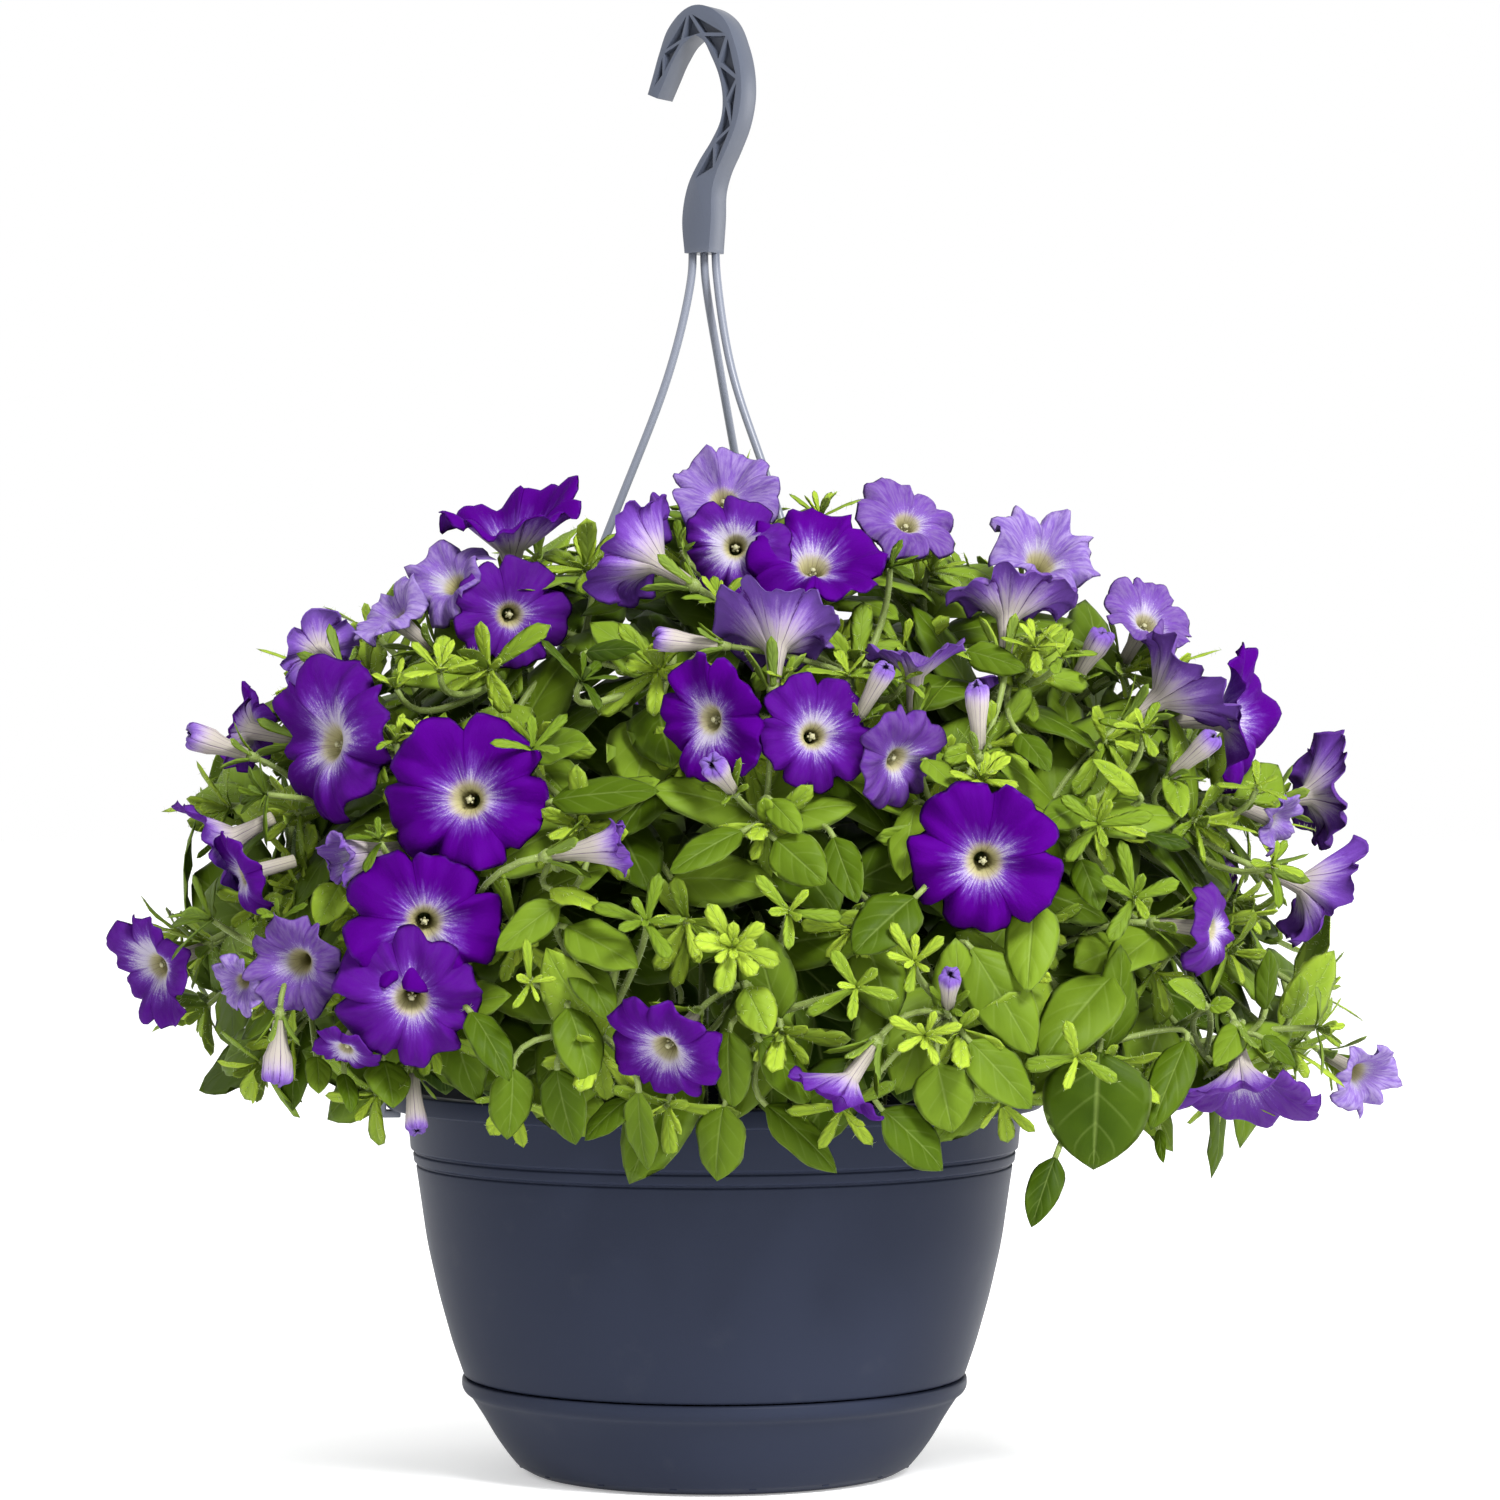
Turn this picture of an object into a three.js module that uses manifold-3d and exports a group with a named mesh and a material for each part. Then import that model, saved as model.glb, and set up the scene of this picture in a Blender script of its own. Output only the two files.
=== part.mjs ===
// Petunia hanging basket: a moulded pot with its snap-on saucer, hung by a one-piece hook with
// three strands, and filled with compost that carries leafy stems and funnel-shaped blooms.
// Millimetres, +Z up, origin at the centre of the saucer's underside, front towards -Y.

import * as THREE from 'three';
import { mergeVertices } from 'three/addons/utils/BufferGeometryUtils.js';
import Module from 'manifold-3d';

const wasm = await Module();
wasm.setup();

// ---- driving dimensions ----

const GAP = 0.35; // clearance between neighbouring solids
const FUSE_TOLERANCE = 0.12; // fused solids lose the slivers under this size

// Pot: outer wall radii by height, then the lip that the clips hold
const POT = {
  sides: 24, wall: 1.8, floorUnder: 2.35, floorTop: 4.2, footRadius: 76.4,
  seatRadius: 95.6, seatHeight: 38.2, wallRadius: 103, wallFoot: 39.2,
  waistRadius: 113, waistHeight: 72,
  bandRadius: 123, bandHeight: 127, stepRadius: 125, stepHeight: 132,
  neckRadius: 126.6, lipRadius: 135, lipUnder: 149, lipTop: 157, lipChamfer: 0.6,
  mouthRadius: 125.6,
  drainRadius: 4, drainRing: 45, drains: 6,
};
const SAUCER = {
  baseRadius: 76, heelRadius: 81.5, heelHeight: 3, kneeRadius: 90, kneeHeight: 14,
  neckRadius: 101, neckHeight: 31.8, beadRadius: 104, beadFoot: 34.8, beadTop: 38.4,
  wall: 1.6,
};
const SOIL = {
  sides: 12, edgeHeight: 138, crownHeight: 144, crownRadius: 60, holeRadius: 6, holeFloor: 127,
};

// Hanger: flat S-hook turned about the vertical, three strands and three clips
const HOOK = {
  axisX: -4.3, turn: -31, thickness: 12, pocketDepth: 4, rim: 1.7, ribShare: 0.74,
  pocketPitch: 9.4, pocketsEnd: 0.82, samples: 28,
  // spine of the S from the free tip to the foot, across and up, with its half width
  spine: [
    [-21.4, 565.5, 2.5], [-18.2, 573, 3.1], [-14.4, 581.8, 3.9], [-9.2, 590.4, 5.2],
    [-0.8, 595.6, 6.2], [7.6, 591.6, 6.4], [12.6, 582.6, 6], [15.8, 573.2, 5.2],
    [16.9, 563, 4.4], [15.2, 552.6, 3.8], [10.7, 543.4, 4.1], [5.2, 534.6, 4.9],
    [1.4, 525.6, 6], [0, 514, 6.9], [0, 500, 5.8],
  ],
};
const STRAND = { radius: 1.7, sides: 5, steps: 9 };
// each strand's clip azimuth on the lip and its way down, the last point inside its clip
const STRANDS = [
  { azimuth: 188, way: [[-9, 0, 506], [-9.6, -0.3, 490], [-18.3, -2.6, 452], [-42.6, -6, 388]] },
  { azimuth: 318, way: [[0.2, 0, 506], [1, -1.6, 490], [7, -7, 452], [24.1, -22, 399]] },
  { azimuth: 68, way: [[-4.4, 0.4, 506], [-3.8, 2, 490], [2, 14.5, 454], [12, 37, 398]] },
];
const CLIP = { width: 8, thickness: 3, legFoot: 150, hookFoot: 145.6, hookReach: 129.5, strandRadius: 136.4 };

// Plant: the mound that the shoot tips and blooms fill, an ellipsoid about this centre
const MOUND = { centre: [10, 5, 188], reach: [262, 205, 232], fill: 0.9 };
const STEM = { radius: 2.1, sides: 4, steps: 6, rootDepth: 127.4, lift: 0.6 };
const BRANCH = { radius: 1.7, sides: 3, steps: 3, lift: 0.3, firstShare: 0.42, shareStep: 0.12 };
const SHOOT = { droop: 0.7, arrival: 0.42 };
const NUDGES = [0, 5, -5, 10, -10, 15, -15]; // turns tried for a shoot whose way is blocked

// Leaves stand at these distances back from each tip, turned on by the golden angle
const LEAF = { length: 50, width: 29, ridge: 1.8, rootShare: 0.03, wave: 1.6 };
const TIP_LEAF = { length: 27, width: 8.5, share: 0.985 };
const LEAF_PLACES = [8, 26, 46];
const GOLDEN_TURN = 137.5;
const LEAF_TRIES = [0, 40, -40, 80, -80, 125, -125, 180];

// Blooms: the cup's clearance follows the tube; where the flare narrows into the tube is given
// as shares of the rim's radius
const COROLLA = { baseRadius: 2.2, notch: 0.13, ruffle: 0.1, large: 26.9, pit: 0.85 };
const THROATS = {
  open: [0.26, -0.24], trumpet: [0.2, -0.54], faded: [0.28, -0.5], half: [0.45, -1.1],
};
const TUBE_LENGTH = { least: 14, share: 0.62, halfShare: 2.6 };
const CALYX = { radius: 2.9, height: 5, lobe: 15, spread: 7.2 };
const STALK = { radius: 1.2, bend: 0.45, turnCost: 45, tries: 120 };
const STALK_SHARES = [0.25, 0.35, 0.45, 0.55, 0.65, 0.75, 0.85, 0.93];

// Leafy stems: where each is rooted [azimuth, distance from the axis], then the mound directions
// [azimuth, elevation] of its shoot tips; the first tip ends the main stem, the others branch off it.
// Shoots carry a leaf at each of LEAF_PLACES unless the stem says fewer
const STEMS = [
  { name: 'stem_left', root: [192, 66], tips: [[203, 8], [187, 9], [196, 24], [190, 42]] },
  { name: 'stem_front_left', root: [214, 50], tips: [[215, 23], [222, 4], [212, 42]] },
  { name: 'stem_front_a', root: [236, 66], tips: [[235, 22], [240, 0], [236, 42], [240, 60]] },
  { name: 'stem_front_b', root: [254, 50], tips: [[254, 22], [257, -2], [260, 42]] },
  { name: 'stem_front_c', root: [273, 68], tips: [[273, 22], [274, 0], [275, 60], [270, 80]] },
  { name: 'stem_front_d', root: [292, 50], tips: [[292, 22], [291, 0], [285, 42]] },
  { name: 'stem_front_e', root: [310, 68], tips: [[310, 22], [308, -4], [309, 42], [310, 60]] },
  { name: 'stem_front_right', root: [330, 50], tips: [[328, 22], [325, -6], [332, 42]] },
  { name: 'stem_right', root: [350, 68], tips: [[345, 22], [342, -4], [352, 42]] },
  { name: 'stem_back_right', leaves: 2, root: [20, 60], tips: [[20, 8], [358, 2], [30, 27]] },
  { name: 'stem_back_a', leaves: 2, root: [60, 62], tips: [[62, 22], [50, 0], [60, 50]] },
  { name: 'stem_back_b', leaves: 2, root: [95, 62], tips: [[95, 25], [98, 0], [95, 55], [90, 78]] },
  { name: 'stem_back_c', leaves: 2, root: [128, 62], tips: [[128, 22], [145, 0], [130, 50]] },
  { name: 'stem_back_left', leaves: 2, root: [162, 62], tips: [[165, 22], [165, 0], [165, 48]] },
];

// Blooms: [name, x, y, z of the rim's centre, rim radius, facing azimuth, facing elevation, form].
// Azimuth 0 faces the front and 90 faces right. Blooms that share a name touch and grow as one piece.
const BLOOMS = [
  ['bloom_01', -81, -72, 389.5, 28, -10, 78, 'trumpet'],
  ['bloom_02', -106, -92, 365, 18, -34, 32, 'faded'],
  ['bloom_03', -79, -102, 348, 22.5, 8, -5, 'open'],
  ['bloom_04', -129, -92, 351, 16.5, -62, 38, 'faded'],
  ['bloom_05', -157, -85, 335, 17.5, -150, 20, 'open'],
  ['bloom_06', -153, -122, 299, 32.5, -54, 8, 'open'],
  ['bloom_07', -188, -66, 304, 17.5, -112, 10, 'open'],
  ['bloom_08', -196, -106, 256, 20.5, -98, -28, 'trumpet'],
  ['bloom_08', -185, -126, 246, 16, -70, -15, 'open'],
  ['bloom_10', -144, -151, 253, 11.5, -60, -10, 'half'],
  ['bloom_11', -93, -166, 277, 30.5, -6, 2, 'open'],
  ['bloom_12', -108, -175, 230, 28.5, 4, -4, 'open'],
  ['bloom_12', -113, -176, 200, 28, 2, -14, 'open'],
  ['bloom_14', -222, -89, 209, 23, -42, -15, 'open'],
  ['bloom_16', -183, -138, 205, 11.5, -30, -16, 'faded'],
  ['bloom_16', -161, -149, 213, 20, -20, -8, 'faded'],
  ['bloom_17', -140, -160, 180, 13.5, -30, -45, 'open'],
  ['bloom_18', -4, -171, 307, 25, -42, 0, 'open'],
  ['bloom_19', 39, -173, 301, 22.5, 8, 3, 'open'],
  ['bloom_20', 73, -163, 290, 22, 40, -22, 'open'],
  ['bloom_21', 4, -81, 398, 22.5, 0, 38, 'open'],
  ['bloom_22', 9, -116, 375, 22, 0, 5, 'open'],
  ['bloom_22', 40, -119, 371, 27.5, 10, 45, 'open'],
  ['bloom_24', 25, -145, 346, 25, 175, 62, 'trumpet'],
  ['bloom_25', -32, -111, 375, 25, -115, 30, 'trumpet'],
  ['bloom_26', 78, -84, 388, 22, 20, 38, 'open'],
  ['bloom_27', 116, -105, 360, 26, 170, 66, 'trumpet'],
  ['bloom_28', 134, -62, 377, 23, 20, 38, 'faded'],
  ['bloom_29', 78, -145, 335, 20.5, 10, 80, 'trumpet'],
  ['bloom_31', 174, -68, 349, 20.5, 25, 40, 'open'],
  ['bloom_31', 188, -87, 324, 27, 100, 34, 'trumpet'],
  ['bloom_31', 211, -70, 309, 31.5, 64, 4, 'open'],
  ['bloom_33', 226, -78, 266, 13.5, 60, -20, 'faded'],
  ['bloom_34', 256, 5, 279, 23, 108, 10, 'trumpet'],
  ['bloom_35', 245, -75, 238, 24, 100, -20, 'trumpet'],
  ['bloom_36', 196, -135, 226, 17.5, 66, -5, 'open'],
  ['bloom_37', 103, -178, 253, 30, 2, -4, 'open'],
  ['bloom_38', -19, -199, 182, 23.5, -30, -28, 'open'],
  ['bloom_39', 46, -197, 165, 19.5, -56, -48, 'trumpet'],
  ['bloom_40', 206, -128, 157, 30, 8, -60, 'trumpet'],
  ['bloom_41', 266, -32, 162, 16, 40, -20, 'faded'],
  ['bloom_42', -32, -187, 260, 11, 75, 8, 'half'],
  ['bloom_43', 152, 128, 312, 27, 138, 28, 'open'],
  ['bloom_43', 124, 150, 306, 24, 158, 16, 'open'],
  ['bloom_44', 214, 92, 240, 25, 118, 5, 'open'],
  ['bloom_45', 18, 158, 340, 26, 178, 34, 'open'],
  ['bloom_45', -16, 170, 324, 25, 190, 20, 'faded'],
  ['bloom_46', -128, 142, 310, 26, 214, 28, 'open'],
  ['bloom_46', -155, 132, 290, 25, 232, 12, 'open'],
  ['bloom_47', 52, 200, 215, 26, 172, -2, 'open'],
  ['bloom_47', 84, 194, 202, 22, 162, -12, 'open'],
  ['bloom_48', -84, 190, 200, 26, 204, -8, 'open'],
];

// ---- vectors, draws and solids ----

const UP = new THREE.Vector3(0, 0, 1);
const vec = (x, y, z) => new THREE.Vector3(x, y, z);
const rad = THREE.MathUtils.degToRad;

// point of start + a * u + b * v + ...
function along(start, ...steps) {
  const point = start.clone();
  for (let i = 0; i < steps.length; i += 2) point.addScaledVector(steps[i + 1], steps[i]);
  return point;
}

// even draws from 0 to 1, the same for the same seed
function draws(seed) {
  let state = (Math.imul(seed, 2654435761) + 12345) >>> 0;
  return () => {
    state = (Math.imul(state, 1664525) + 1013904223) >>> 0;
    return state / 4294967296;
  };
}

function solidOf(geometry) {
  const bare = geometry.clone();
  bare.deleteAttribute('normal');
  bare.deleteAttribute('uv');
  const merged = mergeVertices(bare, 1e-4);
  return new wasm.Manifold(new wasm.Mesh({
    numProp: 3,
    vertProperties: new Float32Array(merged.attributes.position.array),
    triVerts: new Uint32Array(merged.index.array),
  }));
}

function geometryOf(solid) {
  const mesh = solid.getMesh();
  const geometry = new THREE.BufferGeometry();
  geometry.setAttribute('position', new THREE.BufferAttribute(mesh.vertProperties, 3));
  geometry.setIndex(new THREE.BufferAttribute(mesh.triVerts, 1));
  return geometry;
}

function facetedSolid(points, triangles) {
  const geometry = new THREE.BufferGeometry().setFromPoints(points);
  geometry.setIndex(triangles.flat());
  return solidOf(geometry);
}

const joined = (solids) => wasm.Manifold.union(solids).simplify(FUSE_TOLERANCE);

function namedMesh(name, solid, finish) {
  const mesh = new THREE.Mesh(geometryOf(solid), new THREE.MeshStandardMaterial(finish));
  mesh.name = name;
  return mesh;
}

// ---- pot, saucer and soil ----

function turned(profile, sides) {
  const points = profile.map(([r, z]) => new THREE.Vector2(r, z));
  return solidOf(new THREE.LatheGeometry(points, sides).rotateX(Math.PI / 2));
}

// upright prism from z = foot to z = head about (x, y)
function post(x, y, foot, head, radius, sides) {
  const prism = new THREE.CylinderGeometry(radius, radius, head - foot, sides).rotateX(Math.PI / 2);
  return solidOf(prism.translate(x, y, (foot + head) / 2));
}

function pot() {
  const p = POT, w = p.wall;
  let shell = turned([
    [0, p.floorUnder], [p.footRadius, p.floorUnder], [p.seatRadius, p.seatHeight],
    [p.wallRadius, p.wallFoot], [p.waistRadius, p.waistHeight], [p.bandRadius, p.bandHeight],
    [p.stepRadius, p.stepHeight], [p.neckRadius, p.lipUnder], [p.lipRadius, p.lipUnder + p.lipChamfer],
    [p.lipRadius, p.lipTop - p.lipChamfer], [p.mouthRadius, p.lipTop], [p.stepRadius - w, p.stepHeight],
    [p.waistRadius - w, p.waistHeight], [p.wallRadius - w, p.wallFoot + w], [p.seatRadius - w, p.seatHeight],
    [p.footRadius - w, p.floorTop], [0, p.floorTop],
  ], p.sides);
  for (let i = 0; i < p.drains; i += 1) {
    const turn = (i / p.drains) * 2 * Math.PI;
    shell = shell.subtract(post(p.drainRing * Math.cos(turn), p.drainRing * Math.sin(turn),
      p.floorUnder - 1, p.floorTop + 1, p.drainRadius, 6));
  }
  return shell;
}

function saucer() {
  const s = SAUCER, w = s.wall;
  return turned([
    [0, 0], [s.baseRadius, 0], [s.heelRadius, s.heelHeight], [s.kneeRadius, s.kneeHeight],
    [s.neckRadius, s.neckHeight], [s.beadRadius, s.beadFoot], [s.beadRadius, s.beadTop],
    [s.neckRadius - w + 1, s.beadTop], [s.neckRadius - w, s.neckHeight],
    [s.kneeRadius - w, s.kneeHeight], [s.baseRadius + 2, 2], [0, 2],
  ], POT.sides);
}

function soil() {
  const p = POT, inset = p.wall + GAP + 0.4;
  let fill = turned([
    [0, p.floorTop + GAP], [p.footRadius - inset - 0.4, p.floorTop + GAP],
    [p.seatRadius - inset, p.seatHeight], [p.wallRadius - inset, p.wallFoot + inset + 0.3],
    [p.waistRadius - inset, p.waistHeight], [p.bandRadius - inset, p.bandHeight],
    [p.bandRadius - inset, SOIL.edgeHeight], [SOIL.crownRadius, SOIL.crownHeight], [0, SOIL.crownHeight],
  ], SOIL.sides);
  for (const { root } of STEMS) {
    const foot = rootPoint(root);
    fill = fill.subtract(post(foot.x, foot.y, SOIL.holeFloor, SOIL.crownHeight + 2, SOIL.holeRadius, 6));
  }
  return fill;
}

// ---- hanger ----

// the S-hook's flat stands in a plane turned about the vertical
function hookPlane() {
  const across = vec(Math.cos(rad(HOOK.turn)), Math.sin(rad(HOOK.turn)), 0);
  return new THREE.Matrix4()
    .makeBasis(across, UP, across.clone().cross(UP))
    .setPosition(HOOK.axisX, 0, 0);
}

// point of the hook's flat at share t of the spine, side from -1 (left of the way) to 1
function hookPoint(spine, t, side, inset) {
  const at = spine.getPoint(t), way = spine.getTangent(t);
  const reach = side * (at.z - inset);
  const turn = Math.hypot(way.x, way.y);
  return new THREE.Vector2(at.x + (way.y / turn) * reach, at.y - (way.x / turn) * reach);
}

function flatSolid(outline, depth, offset) {
  const flat = new THREE.ExtrudeGeometry(new THREE.Shape(outline), { depth, bevelEnabled: false });
  return solidOf(flat.translate(0, 0, offset).applyMatrix4(hookPlane()));
}

function hook() {
  const h = HOOK;
  const spine = new THREE.CatmullRomCurve3(h.spine.map(([u, z, w]) => vec(u, z, w)));
  const shares = Array.from({ length: h.samples + 1 }, (_, i) => i / h.samples);
  const outline = [
    ...shares.map((t) => hookPoint(spine, t, -1, 0)),
    ...shares.toReversed().map((t) => hookPoint(spine, t, 1, 0)),
  ];
  let plate = flatSolid(outline, h.thickness, -h.thickness / 2);

  // zigzag ribs leave triangular pockets in both faces
  const count = Math.round((spine.getLength() * h.pocketsEnd) / h.pocketPitch);
  const nodes = Array.from({ length: count + 1 }, (_, i) =>
    hookPoint(spine, 0.02 + (i / count) * h.pocketsEnd, i % 2 ? 1 : -1, h.rim));
  for (let i = 0; i + 2 < nodes.length; i += 1) {
    const corners = nodes.slice(i, i + 3);
    const middle = corners.reduce((sum, c) => sum.add(c), new THREE.Vector2()).divideScalar(3);
    const pocket = corners.map((c) => middle.clone().lerp(c, h.ribShare));
    const deep = h.thickness / 2 - h.pocketDepth;
    plate = plate.subtract(flatSolid(pocket, h.pocketDepth + 1, deep));
    plate = plate.subtract(flatSolid(pocket, h.pocketDepth + 1, -deep - h.pocketDepth - 1));
  }
  return plate;
}

function tube(curve, radius, sides, steps) {
  const section = Array.from({ length: sides }, (_, i) => {
    const turn = (i / sides) * 2 * Math.PI;
    return new THREE.Vector2(radius * Math.cos(turn), radius * Math.sin(turn));
  });
  return solidOf(new THREE.ExtrudeGeometry(new THREE.Shape(section), { steps, extrudePath: curve }));
}

// a tube's stations then stand at even parameters, so its chords are known
function evenCurve(curve) {
  curve.getUtoTmapping = (share) => share;
  return curve;
}

// point on the chords of a tube with that many steps
function chordPoint({ curve, steps }, t) {
  const station = Math.min(Math.floor(t * steps), steps - 1);
  return curve.getPoint(station / steps).lerp(curve.getPoint((station + 1) / steps), t * steps - station);
}

function clip(azimuth) {
  const c = CLIP, p = POT;
  const legIn = p.mouthRadius - 2.6, top = p.lipTop + GAP, out = p.lipRadius + GAP;
  const outline = [
    [legIn - c.thickness, c.legFoot], [legIn, c.legFoot], [legIn, top], [out, top],
    [out, p.lipUnder - GAP], [c.hookReach, p.lipUnder - GAP], [c.hookReach, c.hookFoot],
    [out + c.thickness - 1.5, c.hookFoot], [out + c.thickness, c.hookFoot + 1.5],
    [out + c.thickness, top + c.thickness - 1.5], [out + c.thickness - 1.5, top + c.thickness],
    [legIn - c.thickness, top + c.thickness],
  ].map(([r, z]) => new THREE.Vector2(r, z));
  const flat = new THREE.ExtrudeGeometry(new THREE.Shape(outline), { depth: c.width, bevelEnabled: false });
  return solidOf(flat.translate(0, 0, -c.width / 2).rotateX(Math.PI / 2).rotateZ(rad(azimuth)));
}

function strandCurve({ azimuth, way }) {
  const end = vec(CLIP.strandRadius * Math.cos(rad(azimuth)), CLIP.strandRadius * Math.sin(rad(azimuth)),
    POT.lipTop + GAP + 1.6);
  return new THREE.CatmullRomCurve3([...way.map((p) => vec(...p)), end]);
}

function hanger() {
  const strands = STRANDS.map((s) => tube(strandCurve(s), STRAND.radius, STRAND.sides, STRAND.steps));
  return joined([hook(), ...strands, ...STRANDS.map((s) => clip(s.azimuth))]);
}

// ---- the plant's mound and shoots ----

function rootPoint([azimuth, distance]) {
  return vec(distance * Math.cos(rad(azimuth)), distance * Math.sin(rad(azimuth)), STEM.rootDepth);
}

function moundPoint([azimuth, elevation], fill) {
  const a = rad(azimuth), e = rad(elevation), [x, y, z] = MOUND.centre, [rx, ry, rz] = MOUND.reach;
  return vec(x + fill * rx * Math.cos(e) * Math.cos(a), y + fill * ry * Math.cos(e) * Math.sin(a),
    z + fill * rz * Math.sin(e));
}

// outward direction of the mound at a point
function outward(point) {
  const [x, y, z] = MOUND.centre, [rx, ry, rz] = MOUND.reach;
  return vec((point.x - x) / rx ** 2, (point.y - y) / ry ** 2, (point.z - z) / rz ** 2).normalize();
}

// shoot from a start heading one way to a tip of the mound, arriving outwards and drooping when low
function shootCurve(start, heading, lift, tipDirection) {
  const tip = moundPoint(tipDirection, MOUND.fill);
  const span = tip.distanceTo(start);
  const droop = -SHOOT.droop * Math.cos(rad(tipDirection[1]));
  const arrival = along(outward(tip), droop, UP).normalize();
  return evenCurve(new THREE.CubicBezierCurve3(start, along(start, lift * span, heading),
    along(tip, -SHOOT.arrival * span, arrival), tip));
}

// length of a shoot, near enough to space leaves along it
function spanOf({ v0, v1, v2, v3 }) {
  return (v0.distanceTo(v1) + v1.distanceTo(v2) + v2.distanceTo(v3) + v0.distanceTo(v3)) / 2;
}

// ---- leaves, calyces and blooms ----

// pointed blade, ridged along the midrib over a plain underside, with waved edges
function blade({ foot, ahead, upper, length, width, droop, wave }, grow = 0) {
  const side = ahead.clone().cross(upper).normalize();
  const half = width / 2 + grow;
  const spot = (share, across, height) => along(foot, share * (length + grow), ahead, across * half, side,
    height - droop * length * share ** 2, upper);
  const points = [
    spot(-LEAF.rootShare, 0, 0),
    spot(0.3, -0.96, wave[0] - grow), spot(0.3, 0, LEAF.ridge + grow), spot(0.3, 0.96, wave[1] - grow),
    spot(0.68, -0.82, wave[2] - grow), spot(0.68, 0, LEAF.ridge + grow), spot(0.68, 0.82, wave[3] - grow),
    spot(1, 0, 0),
  ];
  return facetedSolid(points, [
    [0, 2, 1], [0, 3, 2], [1, 5, 4], [1, 2, 5], [2, 6, 5], [2, 3, 6], [4, 5, 7], [5, 6, 7],
    [0, 1, 3], [1, 4, 3], [3, 4, 6], [4, 7, 6],
  ]);
}

function facing(azimuth, elevation) {
  const a = rad(azimuth), e = rad(elevation);
  return vec(Math.sin(a) * Math.cos(e), -Math.cos(a) * Math.cos(e), Math.sin(e));
}

// the three directions of a bloom: two across its face, turned by its own roll, and its facing
function bloomAxes(azimuth, elevation, roll) {
  const ahead = facing(azimuth, elevation);
  const level = vec(Math.cos(rad(azimuth)), Math.sin(rad(azimuth)), 0);
  const rise = ahead.clone().cross(level);
  return [along(vec(0, 0, 0), Math.cos(roll), level, Math.sin(roll), rise),
    along(vec(0, 0, 0), -Math.sin(roll), level, Math.cos(roll), rise), ahead];
}

function readBloom([name, x, y, z, radius, azimuth, elevation, form], index) {
  const draw = draws(index + 1);
  const axes = bloomAxes(azimuth, elevation, draw() * 2 * Math.PI);
  const tubeLength = form === 'half' ? TUBE_LENGTH.halfShare * radius
    : TUBE_LENGTH.least + TUBE_LENGTH.share * radius;
  const centre = vec(x, y, z);
  const foot = along(centre, -tubeLength, axes[2]);
  return { name, index, centre, radius, axes, form, tubeLength, draw, foot };
}

function corolla(bloom) {
  const { centre, radius, axes: [u, v, w], form, tubeLength } = bloom;
  const draw = draws(bloom.index + 501);
  const [throatRadius, throatDepth] = THROATS[form].map((share) => share * radius);
  const sides = radius > COROLLA.large ? 15 : 10, lobe = sides / 5;
  const points = [];
  const ring = (shape) => {
    const first = points.length;
    for (let i = 0; i < sides; i += 1) {
      const turn = (i / sides) * 2 * Math.PI;
      const [r, depth] = shape(i);
      points.push(along(centre, r * Math.cos(turn), u, r * Math.sin(turn), v, depth, w));
    }
    return first;
  };
  const triangles = [];
  const band = (a, b) => {
    for (let i = 0; i < sides; i += 1) {
      const j = (i + 1) % sides;
      triangles.push([a + i, b + i, a + j], [a + j, b + i, b + j]);
    }
  };
  const cap = (a, apex, flip) => {
    for (let i = 0; i < sides; i += 1) {
      const j = (i + 1) % sides;
      triangles.push(flip ? [a + j, a + i, apex] : [a + i, a + j, apex]);
    }
  };
  const edge = ring((i) => [
    radius * (i % lobe === 0 ? 1 - COROLLA.notch : 1),
    radius * (COROLLA.ruffle * (2 * draw() - 1)),
  ]);
  const throat = ring(() => [throatRadius, throatDepth]);
  const base = ring(() => [COROLLA.baseRadius, -tubeLength]);
  const pit = points.push(along(centre, COROLLA.pit * throatDepth, w)) - 1;
  const foot = points.push(along(centre, -tubeLength, w)) - 1;
  band(edge, throat);
  band(throat, base);
  cap(base, foot, true);
  cap(edge, pit, false);
  return facetedSolid(points, triangles);
}

// five-fingered green cup just behind the foot of a bloom's tube, on its stalk to the way's end
function calyxOnStalk({ foot, axes: [u, v, w] }, way, grow = 0) {
  const c = CALYX, points = [], triangles = [];
  const ring = (centre, r, turn, ahead, across) => Array.from({ length: 5 }, (_, i) => {
    const angle = (i / 5) * 2 * Math.PI + turn;
    const rise = ahead.clone().cross(across);
    return points.push(along(centre, r * Math.cos(angle), across, r * Math.sin(angle), rise)) - 1;
  });
  const valleys = ring(along(foot, -GAP + grow, w), c.radius + grow, 0, w, u);
  const tips = ring(along(foot, c.lobe, w), c.spread + grow, Math.PI / 5, w, u);
  const [neck, end] = [0, 1].map((t) => {
    const ahead = way.getTangent(t).negate();
    const across = along(u, -u.dot(ahead), ahead).normalize();
    return ring(way.getPoint(t), STALK.radius + (t === 0 ? 0.4 : 0) + grow, 0, ahead, across);
  });
  for (let i = 0; i < 5; i += 1) {
    const j = (i + 1) % 5;
    triangles.push([valleys[j], valleys[i], tips[i]], [valleys[i], neck[i], tips[i]],
      [neck[i], neck[j], tips[i]], [neck[j], valleys[j], tips[i]]);
    triangles.push([neck[i], end[i], neck[j]], [neck[j], end[i], end[j]]);
  }
  for (let i = 1; i < 4; i += 1) {
    triangles.push([valleys[0], valleys[i], valleys[i + 1]], [end[0], end[i + 1], end[i]]);
  }
  return facetedSolid(points, triangles);
}

// ---- growing the plant: every piece takes the first of its places that is clear of the rest ----

function boxesMeet(a, b) {
  return a.min.every((low, i) => low <= b.max[i]) && b.min.every((low, i) => low <= a.max[i]);
}

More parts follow.
